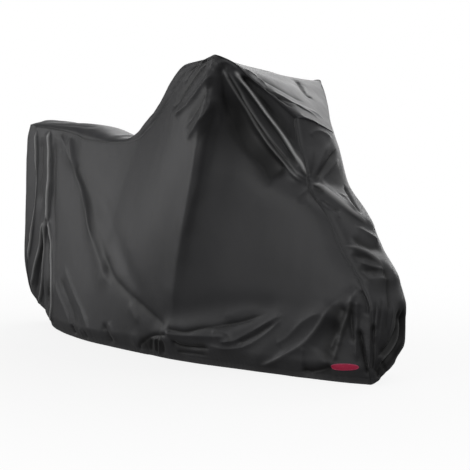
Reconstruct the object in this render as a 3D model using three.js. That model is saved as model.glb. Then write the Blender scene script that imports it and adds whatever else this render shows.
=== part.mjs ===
// A fitted motorcycle cover in the shape in which it hangs in use. Millimetres, +X is the front, +Y the left
// side and +Z up. The origin is on the floor, under the middle of the cover. The cover leans to the left, and
// its peak on the right side is higher and further forward than the one on the left side.
import * as THREE from "three";

// Driving dimensions. The tables below draw the cover at these sizes, and the drawn cover is fitted to them.
const LENGTH = 2450;
const WIDTH = 735;
const HEIGHT = 1250;

// The cloth, with its hem, and the gap that parts two sewn pieces.
const CLOTH = 3;
const SEAM_GAP = 0.3;
const HEM_TUCK = 22;
const HEM_TUCK_FROM = 0.93;
const FOLD_FADE = 45;
const STRETCH_FADE = 0.06;

// The small patch on the right panel, above the hem at the front: its middle, size, slope and how it is rounded.
const PATCH = {
  x: 1090,
  z: 62,
  length: 116,
  height: 30,
  slope: 0.08,
  thick: 1.2,
  clear: 0.6,
  rounding: 0.5,
  roundingPower: 10,
  cellsAlong: 18,
  cellsUp: 6,
};

// Cells of the cloth's grid: from tail to nose, from the top seam to the hem, and across the centre panel.
const ALONG = 55;
const DOWN = 22;
const ACROSS = 10;

// A table's rows get the names of its columns.
function table(columns, rows) {
  return rows.map((row) => Object.fromEntries(columns.map((name, i) => [name, row[i]])));
}

// The right side panel. u runs from the tail (0) over the peak (0.6) to the nose (1).
const RIGHT_TOP = table(["u", "x", "y", "z"], [
  [0.000, -1075, -122, 955],
  [0.060, -920, -116, 942],
  [0.120, -750, -112, 918],
  [0.150, -680, -110, 898],
  [0.210, -500, -110, 887],
  [0.260, -360, -112, 892],
  [0.300, -255, -120, 908],
  [0.345, -128, -150, 955],
  [0.400, 30, -193, 1030],
  [0.455, 185, -240, 1124],
  [0.500, 320, -284, 1186],
  [0.545, 440, -318, 1215],
  [0.585, 545, -343, 1238],
  [0.600, 582, -352, 1250],
  [0.625, 608, -325, 1230],
  [0.680, 633, -288, 1207],
  [0.740, 654, -254, 1168],
  [0.885, 716, -165, 1081],
  [1.000, 764, -100, 1003],
]);
const RIGHT_HEM = table(["u", "x", "y", "z"], [
  [0.000, -1180, -68, 84],
  [0.035, -1105, -76, 58],
  [0.060, -1045, -84, 36],
  [0.075, -1018, -102, 4],
  [0.150, -836, -180, 0],
  [0.225, -660, -234, 0],
  [0.350, -382, -283, 0],
  [0.600, 170, -305, 0],
  [0.660, 330, -294, 0],
  [0.760, 576, -252, 0],
  [0.880, 863, -196, 0],
  [0.960, 1075, -146, 0],
  [1.000, 1181, -104, 0],
]);

// The rear and front seams of the right panel. v runs from the top seam (0) to the hem (1).
const RIGHT_REAR = table(["v", "x", "y", "z"], [
  [0.00, -1075, -122, 955],
  [0.28, -1070, -126, 715],
  [0.55, -1100, -128, 490],
  [0.75, -1165, -120, 315],
  [0.88, -1195, -94, 195],
  [1.00, -1180, -68, 84],
]);
const RIGHT_FRONT = table(["v", "x", "y", "z"], [
  [0.00, 764, -100, 1003],
  [0.10, 784, -98, 906],
  [0.17, 822, -97, 834],
  [0.26, 843, -96, 736],
  [0.36, 945, -94, 630],
  [0.50, 1028, -94, 499],
  [0.65, 1141, -92, 369],
  [0.75, 1187, -92, 277],
  [0.88, 1189, -94, 130],
  [1.00, 1181, -104, 0],
]);

// The left side panel, whose peak is lower and further back.
const LEFT_TOP = table(["u", "x", "y", "z"], [
  [0.000, -1090, 128, 928],
  [0.120, -757, 128, 892],
  [0.210, -500, 126, 868],
  [0.300, -300, 138, 872],
  [0.400, -70, 190, 960],
  [0.500, 160, 272, 1086],
  [0.560, 300, 330, 1138],
  [0.600, 412, 362, 1162],
  [0.640, 470, 325, 1140],
  [0.740, 560, 255, 1068],
  [0.885, 672, 170, 992],
  [1.000, 752, 112, 925],
]);
const LEFT_HEM = table(["u", "x", "y", "z"], [
  [0.000, -1185, 78, 84],
  [0.060, -1050, 110, 40],
  [0.150, -836, 190, 0],
  [0.350, -382, 268, 0],
  [0.600, 120, 286, 0],
  [0.760, 540, 240, 0],
  [0.880, 840, 182, 10],
  [1.000, 1150, 92, 78],
]);
const LEFT_REAR = table(["v", "x", "y", "z"], [
  [0.00, -1090, 128, 928],
  [0.30, -1092, 128, 690],
  [0.65, -1145, 122, 390],
  [0.88, -1195, 98, 190],
  [1.00, -1185, 78, 84],
]);
const LEFT_FRONT = table(["v", "x", "y", "z"], [
  [0.00, 752, 112, 925],
  [0.14, 800, 104, 850],
  [0.26, 850, 100, 735],
  [0.36, 945, 98, 630],
  [0.50, 1030, 96, 499],
  [0.65, 1140, 96, 369],
  [0.78, 1184, 95, 262],
  [0.90, 1180, 94, 160],
  [1.00, 1150, 92, 78],
]);

// The centre panel's middle line, and how square its section is: 2 is an ellipse, 4 is nearly a box.
const CENTRE_REAR = table(["v", "x", "z", "square"], [
  [0.00, -1180, 952, 3.2],
  [0.08, -1208, 880, 3.8],
  [0.30, -1217, 690, 4.4],
  [0.65, -1225, 400, 4.2],
  [0.88, -1222, 200, 3.2],
  [1.00, -1215, 92, 2.6],
]);
const CENTRE_TOP = table(["u", "x", "z", "square"], [
  [0.000, -1180, 952, 3.2],
  [0.025, -1145, 964, 2.8],
  [0.060, -1050, 970, 2.4],
  [0.120, -800, 968, 2.2],
  [0.150, -690, 960, 2.2],
  [0.210, -490, 916, 2.2],
  [0.260, -380, 906, 2.4],
  [0.300, -318, 926, 2.8],
  [0.345, -225, 968, 3.2],
  [0.400, -95, 1046, 3.2],
  [0.455, 40, 1134, 3.2],
  [0.500, 172, 1198, 2.8],
  [0.545, 305, 1206, 2.4],
  [0.600, 505, 1184, 2.0],
  [0.680, 580, 1152, 2.0],
  [0.885, 725, 1040, 2.0],
  [1.000, 803, 972, 2.4],
]);
const CENTRE_FRONT = table(["v", "x", "z", "square"], [
  [0.00, 803, 972, 2.4],
  [0.14, 849, 862, 2.2],
  [0.26, 892, 746, 2.2],
  [0.36, 1001, 652, 2.2],
  [0.50, 1099, 520, 2.2],
  [0.65, 1194, 386, 2.2],
  [0.78, 1226, 260, 2.2],
  [0.90, 1224, 145, 2.2],
  [1.00, 1198, 46, 2.2],
]);

// How far the hanging cloth stands out of (or, below zero, falls in from) the straight line between its top
// seam and its hem.
const RIGHT_BULGE = table(["u", "out"], [[0, 0], [0.2, 18], [0.45, 30], [0.6, 16], [0.75, -18], [0.9, -6], [1, 0]]);
const LEFT_BULGE = table(["u", "out"], [[0, 0], [0.2, 20], [0.45, 34], [0.6, 10], [0.78, -16], [0.9, -4], [1, 0]]);

// The main folds. Each runs from one place to another on its panel, bowed sideways by bow, with a height at
// either end (a trough is below zero) and a half width. A side panel's folds are placed by x and z, the rear
// and front of the centre panel by y and z, and its top by x and y.
const FOLD_COLUMNS = ["a1", "b1", "a2", "b2", "bow", "high1", "high2", "wide"];
const RIGHT_FOLDS = table(FOLD_COLUMNS, [
  // The upright fold from the tail, and the two that fan from its foot.
  [-975, 900, -975, 500, 0, 6, 15, 40],
  [-975, 490, -915, 110, 22, 15, 14, 40],
  [-1000, 470, -1165, 120, 0, 10, 12, 36],
  [-990, 420, -1040, 150, 0, -12, -14, 36],
  // The long fold that falls from the tail across the panel, with its trough in front.
  [-860, 905, -290, 265, -18, 12, 20, 55],
  [-700, 740, 120, 165, -45, -10, -16, 55],
  // The folds that hang from the peak.
  [545, 1180, 230, 1025, 0, 14, 8, 40],
  [540, 1075, 410, 950, 0, 12, 6, 40],
  [578, 1160, 255, 300, -12, 7, 4, 45],
  // The tight fold from the peak to the pinched place on the front seam, and the hollow under it.
  [615, 1175, 818, 775, -10, 18, 14, 42],
  [580, 1080, 720, 810, -20, -26, -14, 60],
  // The swags above the hem.
  [190, 110, 520, 150, -14, 15, 17, 38],
  [230, 190, 740, 265, -16, -10, -10, 45],
  [520, 104, 800, 240, -10, 14, 8, 36],
  [-30, 45, 170, 92, 16, 10, 6, 36],
  // The fan of folds behind the foot of the front seam.
  [1010, 270, 680, 50, 24, 14, 10, 40],
  [1030, 200, 930, 80, 0, -14, -12, 42],
  [1120, 315, 1025, 110, 12, 14, 12, 36],
]);
const LEFT_FOLDS = table(FOLD_COLUMNS, [
  // The upright fold from the tail, and the two that fan from its foot.
  [-985, 870, -970, 420, 0, 8, 14, 40],
  [-965, 410, -900, 90, -20, 14, 12, 40],
  [-985, 400, -1130, 130, 0, 10, 12, 38],
  // The long fold that falls from the tail across the panel, with its trough in front.
  [-840, 860, -330, 190, 24, 12, 18, 55],
  [-690, 720, -60, 180, 40, -10, -14, 55],
  // The folds that hang from the peak.
  [370, 1090, 50, 930, 0, 14, 8, 42],
  [370, 1010, 250, 860, 0, 12, 6, 42],
  [400, 1060, 190, 280, 10, 8, 5, 45],
  [440, 1075, 780, 770, 12, 15, 12, 42],
  [430, 990, 640, 780, 20, -22, -12, 60],
  // The swags above the hem.
  [-60, 120, 330, 160, 16, 14, 14, 38],
  [20, 200, 560, 260, 18, -12, -10, 42],
  [430, 90, 760, 240, 12, 13, 8, 36],
  // The fan of folds behind the foot of the front seam.
  [1000, 300, 660, 80, -24, 14, 10, 40],
  [1110, 330, 1000, 120, -12, 13, 12, 36],
  [1020, 230, 900, 100, 0, -13, -11, 42],
]);
const FRONT_FOLDS = table(FOLD_COLUMNS, [
  [-88, 748, 60, 600, 12, 20, 14, 28],
  [-88, 690, 40, 560, 10, -12, -8, 26],
  [-88, 765, 45, 900, 0, 10, 8, 28],
  [-70, 515, 40, 425, -14, 15, 13, 28],
  [-60, 392, 70, 405, 0, 9, 7, 26],
  [-70, 335, 60, 350, 0, -7, -7, 30],
  [-30, 270, -50, 110, 8, 4, 5, 28],
  [35, 290, 10, 120, 0, -12, -12, 26],
]);
const REAR_FOLDS = table(FOLD_COLUMNS, [
  [-45, 900, -35, 110, 10, -5, -14, 26],
  [55, 860, 40, 120, 8, -5, -14, 28],
  [0, 460, 5, 110, 0, 3, 5, 26],
]);
const TOP_FOLDS = table(FOLD_COLUMNS, [
  [-1080, -60, -930, 40, 0, 9, 6, 34],
  [-1000, -50, -700, 60, 0, -6, -4, 38],
  [-470, -60, -350, 90, 0, 8, 8, 34],
  [520, 120, 640, 70, 0, -10, -6, 34],
  [600, -220, 560, 200, -16, -8, -8, 45],
]);

// A smooth curve through a table's rows, with no overshoot between them.
function curve(rows) {
  const [key, ...names] = Object.keys(rows[0]);
  const at = rows.map((row) => row[key]);
  const slopes = {};
  for (const name of names) {
    const rise = at.slice(1).map((end, i) => (rows[i + 1][name] - rows[i][name]) / (end - at[i]));
    slopes[name] = at.map((_, i) => {
      if (i === 0) return rise[0];
      if (i === at.length - 1) return rise[i - 1];
      if (rise[i - 1] * rise[i] <= 0) return 0;
      const before = at[i] - at[i - 1];
      const after = at[i + 1] - at[i];
      const weightBefore = 2 * after + before;
      const weightAfter = after + 2 * before;
      return (weightBefore + weightAfter) / (weightBefore / rise[i - 1] + weightAfter / rise[i]);
    });
  }
  return (value) => {
    let i = 0;
    while (i < at.length - 2 && value > at[i + 1]) i += 1;
    const span = at[i + 1] - at[i];
    const t = (value - at[i]) / span;
    const point = {};
    for (const name of names) {
      const start = rows[i][name] * (1 + 2 * t) * (1 - t) ** 2 + slopes[name][i] * span * t * (1 - t) ** 2;
      const end = rows[i + 1][name] * t * t * (3 - 2 * t) + slopes[name][i + 1] * span * t * t * (t - 1);
      point[name] = start + end;
    }
    return point;
  };
}

const vector = (point) => new THREE.Vector3(point.x, point.y, point.z);
const smooth = (value) => {
  const t = Math.min(Math.max(value, 0), 1);
  return t * t * (3 - 2 * t);
};

// The height of all the folds of a table at one place of its panel.
function foldHeight(folds, a, b) {
  let height = 0;
  for (const fold of folds) {
    const da = fold.a2 - fold.a1;
    const db = fold.b2 - fold.b1;
    const length = Math.hypot(da, db);
    const along = ((a - fold.a1) * da + (b - fold.b1) * db) / length;
    const part = Math.min(Math.max(along / length, 0), 1);
    const beyond = along - part * length;
    const beside = ((a - fold.a1) * db - (b - fold.b1) * da) / length - fold.bow * 4 * part * (1 - part);
    const reach = (beside * beside + beyond * beyond) / (fold.wide * fold.wide);
    height += (fold.high1 + (fold.high2 - fold.high1) * part) * Math.exp(-reach);
  }
  return height;
}

const SIDES = {
  right: {
    out: -1,
    top: curve(RIGHT_TOP),
    hem: curve(RIGHT_HEM),
    rear: curve(RIGHT_REAR),
    front: curve(RIGHT_FRONT),
    bulge: curve(RIGHT_BULGE),
    folds: RIGHT_FOLDS,
  },
  left: {
    out: 1,
    top: curve(LEFT_TOP),
    hem: curve(LEFT_HEM),
    rear: curve(LEFT_REAR),
    front: curve(LEFT_FRONT),
    bulge: curve(LEFT_BULGE),
    folds: LEFT_FOLDS,
  },
};

// A side panel before its folds: straight lines from the top seam to the hem, drawn to the rear and front
// seams near its ends, with its bulge.
function hangingPoint(side, u, v) {
  const point = vector(side.top(u)).lerp(vector(side.hem(u)), v);
  for (const [edge, end, weight] of [[side.rear, 0, (1 - u) ** 4], [side.front, 1, u ** 4]]) {
    const chord = vector(side.top(end)).lerp(vector(side.hem(end)), v);
    point.addScaledVector(vector(edge(v)).sub(chord), weight);
  }
  const tuck = HEM_TUCK * smooth((v - HEM_TUCK_FROM) / (1 - HEM_TUCK_FROM));
  point.y += side.out * (side.bulge(u).out * Math.sin(Math.PI * v) - tuck);
  return point;
}

function sidePoint(side, u, v) {
  const point = hangingPoint(side, u, v);
  const step = 0.01;
  const along = hangingPoint(side, Math.min(u + step, 1), v).sub(hangingPoint(side, Math.max(u - step, 0), v));
  const down = hangingPoint(side, u, Math.min(v + step, 1)).sub(hangingPoint(side, u, Math.max(v - step, 0)));
  const out = along.cross(down).normalize();
  if (out.y * side.out < 0) out.negate();
  const topSeam = point.distanceTo(hangingPoint(side, u, 0));
  const rearSeam = point.distanceTo(hangingPoint(side, 0, v));
  const frontSeam = point.distanceTo(hangingPoint(side, 1, v));
  const fade = smooth(topSeam / FOLD_FADE) * smooth(rearSeam / FOLD_FADE) * smooth(frontSeam / FOLD_FADE);
  point.addScaledVector(out, foldHeight(side.folds, point.x, point.z) * fade);
  point.z = Math.max(point.z, 0);
  return point;
}

// The centre panel's three stretches: the middle line, the folds with the way that they stand out and the
// axes that place them, and how far inside the stretch a place on it lies.
const STRETCHES = {
  rear: {
    middle: curve(CENTRE_REAR),
    folds: REAR_FOLDS,
    out: new THREE.Vector3(-1, 0, 0),
    axes: ["y", "z"],
    inside: (v) => v,
  },
  top: {
    middle: curve(CENTRE_TOP),
    folds: TOP_FOLDS,
    out: new THREE.Vector3(0, 0, 1),
    axes: ["x", "y"],
    inside: (u) => Math.min(u, 1 - u),
  },
  front: {
    middle: curve(CENTRE_FRONT),
    folds: FRONT_FOLDS,
    out: new THREE.Vector3(1, 0, 0),
    axes: ["y", "z"],
    inside: (v) => v,
  },
};

// A point of the centre panel's section, which turns from its right seam over the middle line to its left seam.
function centrePoint(right, left, stretch, place, turn) {
  const middle = stretch.middle(place);
  const power = 2 / middle.square;
  const cosine = Math.cos(turn);
  const across = 0.5 - 0.5 * Math.sign(cosine) * Math.abs(cosine) ** power;
  const crown = Math.abs(Math.sin(turn)) ** power;
  const chord = right.clone().lerp(left, 0.5);
  const rise = new THREE.Vector3(middle.x, chord.y, middle.z).sub(chord);
  const point = right.clone().lerp(left, across).addScaledVector(rise, crown);
  const seams = Math.min(point.distanceTo(right), point.distanceTo(left));
  const fade = smooth(seams / FOLD_FADE) * smooth(stretch.inside(place) / STRETCH_FADE);
  const [a, b] = stretch.axes.map((axis) => point[axis]);
  point.addScaledVector(stretch.out, foldHeight(stretch.folds, a, b) * fade);
  point.z = Math.max(point.z, 0);
  return point;
}

// The three panels as grids of points. Panels that are sewn together share the points of their seam.
function sideGrid(side) {
  const grid = [];
  for (let i = 0; i <= ALONG; i += 1) {
    grid.push([]);
    for (let j = 0; j <= DOWN; j += 1) grid[i].push(sidePoint(side, i / ALONG, j / DOWN));
  }
  return grid;
}

function seamOf(grid) {
  const rear = grid[0].slice().reverse();
  const top = grid.map((column) => column[0]);
  const front = grid[ALONG];
  return [...rear, ...top.slice(1), ...front.slice(1)];
}

function centreGrid(rightSeam, leftSeam) {
  return rightSeam.map((right, i) => {
    let stretch = STRETCHES.front;
    let place = (i - DOWN - ALONG) / DOWN;
    if (i < DOWN) {
      stretch = STRETCHES.rear;
      place = 1 - i / DOWN;
    } else if (i <= DOWN + ALONG) {
      stretch = STRETCHES.top;
      place = (i - DOWN) / ALONG;
    }
    const left = leftSeam[i];
    const column = [right];
    for (let j = 1; j < ACROSS; j += 1) {
      column.push(centrePoint(right, left, stretch, place, (Math.PI * j) / ACROSS));
    }
    column.push(left);
    return column;
  });
}

// Each grid's cells as triangles, wound so that their faces point out of the cover.
function cells(grid, flip) {
  const triangles = [];
  for (let i = 0; i < grid.length - 1; i += 1) {
    for (let j = 0; j < grid[0].length - 1; j += 1) {
      const corners = [grid[i][j], grid[i + 1][j], grid[i + 1][j + 1], grid[i][j + 1]];
      const cut = corners[0].distanceTo(corners[2]) <= corners[1].distanceTo(corners[3]) ? 0 : 1;
      const order = [0, 1, 2, 0, 2, 3].map((k) => corners[(k + cut) % 4]);
      for (const three of [order.slice(0, 3), order.slice(3)]) triangles.push(flip ? three.reverse() : three);
    }
  }
  return triangles;
}

// The outward direction at every point of the whole cover, seams included.
function outwardDirections(triangles) {
  const directions = new Map();
  for (const [a, b, c] of triangles) {
    const face = b.clone().sub(a).cross(c.clone().sub(a)).normalize();
    for (const [corner, next, last] of [[a, b, c], [b, c, a], [c, a, b]]) {
      const angle = next.clone().sub(corner).angleTo(last.clone().sub(corner));
      if (!directions.has(corner)) directions.set(corner, new THREE.Vector3());
      directions.get(corner).addScaledVector(face, angle);
    }
  }
  for (const direction of directions.values()) direction.normalize();
  return directions;
}

// Half the seam's gap, square to the seam and along the cloth, towards the side panel.
function seamShifts(seam, directions, side) {
  const shifts = new Map();
  seam.forEach((point, i) => {
    const ahead = seam[Math.min(i + 1, seam.length - 1)].clone().sub(point);
    const behind = point.clone().sub(seam[Math.max(i - 1, 0)]);
    if (i === 0) behind.copy(ahead);
    if (i === seam.length - 1) ahead.copy(behind);
    const bend = ahead.angleTo(behind);
    const tangent = ahead.normalize().add(behind.normalize()).normalize();
    const shift = tangent.cross(directions.get(point)).normalize();
    shift.multiplyScalar((-side.out * SEAM_GAP) / 2 / Math.cos(bend / 2));
    shifts.set(point, shift);
  });
  return shifts;
}

// A closed solid of the cloth's thickness under a grid of outer points.
function clothSolid(grid, triangles, directions, shifts, sign, thickness = CLOTH) {
  const points = grid.flat();
  const index = new Map(points.map((point, i) => [point, i]));
  const outer = points.map((point) => {
    const shift = shifts.map((map) => map.get(point)).find((found) => found);
    return shift ? point.clone().addScaledVector(shift, sign) : point.clone();
  });
  const inner = points.map((point, i) => outer[i].clone().addScaledVector(directions.get(point), -thickness));
  const faces = [];
  const edges = new Map();
  for (const triangle of triangles) {
    const [a, b, c] = triangle.map((point) => index.get(point));
    faces.push([a, b, c], [c + points.length, b + points.length, a + points.length]);
    for (const [from, to] of [[a, b], [b, c], [c, a]]) {
      const twin = `${to} ${from}`;
      if (edges.has(twin)) edges.delete(twin);
      else edges.set(`${from} ${to}`, [from, to]);
    }
  }
  for (const [from, to] of edges.values()) {
    const [fromInner, toInner] = [from + points.length, to + points.length];
    if (outer[to].distanceTo(inner[from]) < outer[from].distanceTo(inner[to])) {
      faces.push([to, from, fromInner], [to, fromInner, toInner]);
    } else {
      faces.push([to, from, toInner], [from, fromInner, toInner]);
    }
  }
  const geometry = new THREE.BufferGeometry();
  const positions = [...outer, ...inner].flatMap((point) => [point.x, point.y, point.z]);
  geometry.setAttribute("position", new THREE.Float32BufferAttribute(positions, 3));
  geometry.setIndex(faces.flat());
  geometry.computeVertexNormals();
  return geometry;
}

// Where the right panel's cloth lies over one x and z: its outermost y there.
function clothAt(triangles, x, z) {
  let y = Infinity;
  for (const [a, b, c] of triangles) {
    const area = (b.x - a.x) * (c.z - a.z) - (c.x - a.x) * (b.z - a.z);
    const shareB = ((x - a.x) * (c.z - a.z) - (c.x - a.x) * (z - a.z)) / area;
    const shareC = ((b.x - a.x) * (z - a.z) - (x - a.x) * (b.z - a.z)) / area;
    if (shareB < 0 || shareC < 0 || shareB + shareC > 1) continue;
    y = Math.min(y, a.y + shareB * (b.y - a.y) + shareC * (c.y - a.y));
  }
  return y;
}

// The patch's outer points: a long plate with rounded corners that follows the cloth just clear of it.
function patchGrid(triangles) {
  const grid = [];
  for (let i = 0; i <= PATCH.cellsAlong; i += 1) {
    grid.push([]);
    const along = (2 * i) / PATCH.cellsAlong - 1;
    const half = (PATCH.height / 2) * (1 - PATCH.rounding * Math.abs(along) ** PATCH.roundingPower);
    for (let j = 0; j <= PATCH.cellsUp; j += 1) {
      const x = PATCH.x + (PATCH.length / 2) * along;
      const z = PATCH.z + PATCH.slope * (x - PATCH.x) + half * ((2 * j) / PATCH.cellsUp - 1);
      const y = clothAt(triangles, x, z) - PATCH.clear - PATCH.thick;
      grid[i].push(new THREE.Vector3(x, y, z));
    }
  }
  return grid;
}

const blackNylon = new THREE.MeshStandardMaterial({ name: "black_nylon", color: 0x2c2c2e, roughness: 0.5 });
const redPatch = new THREE.MeshStandardMaterial({ name: "red_patch", color: 0xc01f45, roughness: 0.6 });

function panel(name, geometry, material) {
  const mesh = new THREE.Mesh(geometry, material);
  mesh.name = name;
  return mesh;
}

// Fits the drawn cover to the driving dimensions, with the origin on the floor under its middle.
function fitToSize(points) {
  const box = new THREE.Box3().setFromPoints(points);
  const size = box.getSize(new THREE.Vector3());
  const origin = box.getCenter(new THREE.Vector3()).setZ(box.min.z);
  const scale = new THREE.Vector3(LENGTH / size.x, WIDTH / size.y, HEIGHT / size.z);
  for (const point of points) point.sub(origin).multiply(scale);
}

const rightGrid = sideGrid(SIDES.right);
const leftGrid = sideGrid(SIDES.left);
const rightSeam = seamOf(rightGrid);
const leftSeam = seamOf(leftGrid);
const middleGrid = centreGrid(rightSeam, leftSeam);
fitToSize([...new Set([rightGrid, leftGrid, middleGrid].flat(2))]);

const rightCells = cells(rightGrid, true);
const leftCells = cells(leftGrid, false);
const middleCells = cells(middleGrid, false);
const outward = outwardDirections([...rightCells, ...leftCells, ...middleCells]);
const rightShifts = seamShifts(rightSeam, outward, SIDES.right);
const leftShifts = seamShifts(leftSeam, outward, SIDES.left);

const cover = new THREE.Group();
cover.add(panel("side_panel_right", clothSolid(rightGrid, rightCells, outward, [rightShifts], 1), blackNylon));
cover.add(panel("side_panel_left", clothSolid(leftGrid, leftCells, outward, [leftShifts], 1), blackNylon));
cover.add(
  panel("centre_panel", clothSolid(middleGrid, middleCells, outward, [rightShifts, leftShifts], -1), blackNylon),
);

const patch = patchGrid(rightCells);
const patchCells = cells(patch, false);
const patchOut = outwardDirections(patchCells);
cover.add(panel("hem_patch", clothSolid(patch, patchCells, patchOut, [], 1, PATCH.thick), redPatch));

export default cover;
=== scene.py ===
"""A fitted motorcycle cover of black coated cloth, in the folds in which it hangs in use."""

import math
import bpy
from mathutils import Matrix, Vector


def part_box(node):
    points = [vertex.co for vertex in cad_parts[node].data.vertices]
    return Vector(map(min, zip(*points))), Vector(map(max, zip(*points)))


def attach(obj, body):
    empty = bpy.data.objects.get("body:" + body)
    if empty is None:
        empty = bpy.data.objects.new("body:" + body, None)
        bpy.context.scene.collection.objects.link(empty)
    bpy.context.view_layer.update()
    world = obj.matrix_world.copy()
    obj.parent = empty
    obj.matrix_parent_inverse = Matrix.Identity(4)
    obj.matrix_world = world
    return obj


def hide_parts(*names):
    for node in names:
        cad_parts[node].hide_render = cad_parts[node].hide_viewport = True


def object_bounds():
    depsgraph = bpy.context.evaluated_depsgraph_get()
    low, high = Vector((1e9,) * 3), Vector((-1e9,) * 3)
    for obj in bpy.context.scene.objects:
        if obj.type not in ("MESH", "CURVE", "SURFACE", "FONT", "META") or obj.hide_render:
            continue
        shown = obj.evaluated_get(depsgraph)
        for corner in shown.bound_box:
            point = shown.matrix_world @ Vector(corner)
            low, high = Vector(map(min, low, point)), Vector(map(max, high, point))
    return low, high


bl_info = {
    "name": "Draped Motorcycle Cover",
    "version": (1, 0, 0),
    "blender": (4, 5, 0),
    "location": "3D View > Sidebar > Cover",
    "description": "Makes the panels of a motorcycle cover with their creases, seams, hem and patch",
    "category": "Add Mesh",
}

import bmesh
import bpy
import numpy as np
from mathutils import Euler, Vector, noise
from mathutils.bvhtree import BVHTree

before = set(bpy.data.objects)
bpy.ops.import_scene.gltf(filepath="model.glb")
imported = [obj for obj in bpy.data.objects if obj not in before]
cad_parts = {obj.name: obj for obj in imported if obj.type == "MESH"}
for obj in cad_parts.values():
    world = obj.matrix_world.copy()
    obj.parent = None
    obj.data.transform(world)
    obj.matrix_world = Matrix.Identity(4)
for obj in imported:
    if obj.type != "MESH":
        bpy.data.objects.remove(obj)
CAD_BOX = [list(corner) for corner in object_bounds()]

# Drawn sizes below are millimetres, +X is the front, +Y the left side and +Z up. Meshes are in metres.
METRE = 0.001

# The right side panel. u runs from the tail (0) over the peak (0.6) to the nose (1), and v from the top seam
# (0) to the hem (1). These rows are the ones that shape the solids.
RIGHT_TOP = (  # u, x, y, z
    (0.000, -1075, -122, 955),
    (0.060, -920, -116, 942),
    (0.120, -750, -112, 918),
    (0.150, -680, -110, 898),
    (0.210, -500, -110, 887),
    (0.260, -360, -112, 892),
    (0.300, -255, -120, 908),
    (0.345, -128, -150, 955),
    (0.400, 30, -193, 1030),
    (0.455, 185, -240, 1124),
    (0.500, 320, -284, 1186),
    (0.545, 440, -318, 1219),
    (0.585, 545, -343, 1244),
    (0.600, 582, -352, 1250),
    (0.625, 608, -325, 1238),
    (0.680, 633, -288, 1213),
    (0.740, 654, -254, 1172),
    (0.885, 716, -165, 1081),
    (1.000, 764, -100, 1003),
)
RIGHT_HEM = (  # u, x, y, z
    (0.000, -1180, -68, 84),
    (0.035, -1105, -76, 58),
    (0.060, -1045, -84, 36),
    (0.075, -1018, -102, 4),
    (0.150, -836, -180, 0),
    (0.225, -660, -234, 0),
    (0.350, -382, -283, 0),
    (0.600, 170, -305, 0),
    (0.660, 330, -294, 0),
    (0.760, 576, -252, 0),
    (0.880, 863, -196, 0),
    (0.960, 1075, -146, 0),
    (1.000, 1181, -104, 0),
)
RIGHT_REAR = (  # v, x, y, z
    (0.00, -1075, -122, 955),
    (0.28, -1070, -126, 715),
    (0.55, -1100, -128, 490),
    (0.75, -1165, -120, 315),
    (0.88, -1195, -94, 195),
    (1.00, -1180, -68, 84),
)
RIGHT_FRONT = (  # v, x, y, z
    (0.00, 764, -100, 1003),
    (0.10, 784, -98, 906),
    (0.17, 822, -97, 834),
    (0.26, 843, -96, 736),
    (0.36, 945, -94, 630),
    (0.50, 1028, -94, 499),
    (0.65, 1141, -92, 369),
    (0.75, 1187, -92, 277),
    (0.88, 1189, -94, 130),
    (1.00, 1181, -104, 0),
)

# The left side panel, whose peak is lower and further back.
LEFT_TOP = (  # u, x, y, z
    (0.000, -1090, 128, 928),
    (0.120, -757, 128, 892),
    (0.210, -500, 126, 868),
    (0.300, -300, 138, 872),
    (0.400, -70, 190, 960),
    (0.500, 160, 272, 1086),
    (0.560, 300, 330, 1138),
    (0.600, 385, 362, 1162),
    (0.640, 450, 325, 1140),
    (0.740, 560, 255, 1068),
    (0.885, 672, 170, 992),
    (1.000, 752, 112, 925),
)
LEFT_HEM = (  # u, x, y, z
    (0.000, -1185, 78, 84),
    (0.060, -1050, 110, 40),
    (0.150, -836, 190, 0),
    (0.350, -382, 268, 0),
    (0.600, 120, 286, 0),
    (0.760, 540, 240, 0),
    (0.880, 840, 182, 10),
    (1.000, 1150, 92, 78),
)
LEFT_REAR = (  # v, x, y, z
    (0.00, -1090, 128, 928),
    (0.30, -1092, 128, 690),
    (0.65, -1145, 122, 390),
    (0.88, -1195, 98, 190),
    (1.00, -1185, 78, 84),
)
LEFT_FRONT = (  # v, x, y, z
    (0.00, 752, 112, 925),
    (0.14, 800, 104, 850),
    (0.26, 850, 100, 735),
    (0.36, 945, 98, 630),
    (0.50, 1030, 96, 499),
    (0.65, 1140, 96, 369),
    (0.78, 1184, 95, 262),
    (0.90, 1180, 94, 160),
    (1.00, 1150, 92, 78),
)

# The centre panel's middle line, and how square its section is: 2 is an ellipse, 4 is nearly a box.
CENTRE_REAR = (  # v, x, z, square
    (0.00, -1180, 952, 3.2),
    (0.08, -1208, 880, 3.8),
    (0.30, -1217, 690, 4.4),
    (0.65, -1225, 400, 4.2),
    (0.88, -1222, 200, 3.2),
    (1.00, -1215, 92, 2.6),
)
CENTRE_TOP = (  # u, x, z, square
    (0.000, -1180, 952, 3.2),
    (0.025, -1145, 964, 2.8),
    (0.060, -1050, 970, 2.4),
    (0.120, -800, 968, 2.2),
    (0.150, -690, 960, 2.2),
    (0.210, -490, 916, 2.2),
    (0.260, -380, 906, 2.4),
    (0.300, -318, 926, 2.8),
    (0.345, -225, 968, 3.2),
    (0.400, -95, 1046, 3.2),
    (0.455, 40, 1134, 3.2),
    (0.500, 172, 1198, 2.8),
    (0.545, 305, 1206, 2.4),
    (0.600, 495, 1186, 2.0),
    (0.680, 580, 1153, 2.0),
    (0.885, 725, 1040, 2.0),
    (1.000, 803, 972, 2.4),
)
CENTRE_FRONT = (  # v, x, z, square
    (0.00, 803, 972, 2.4),
    (0.14, 849, 862, 2.2),
    (0.26, 892, 746, 2.2),
    (0.36, 1001, 652, 2.2),
    (0.50, 1099, 520, 2.2),
    (0.65, 1194, 386, 2.2),
    (0.78, 1226, 260, 2.2),
    (0.90, 1224, 145, 2.2),
    (1.00, 1198, 46, 2.2),
)

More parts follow.
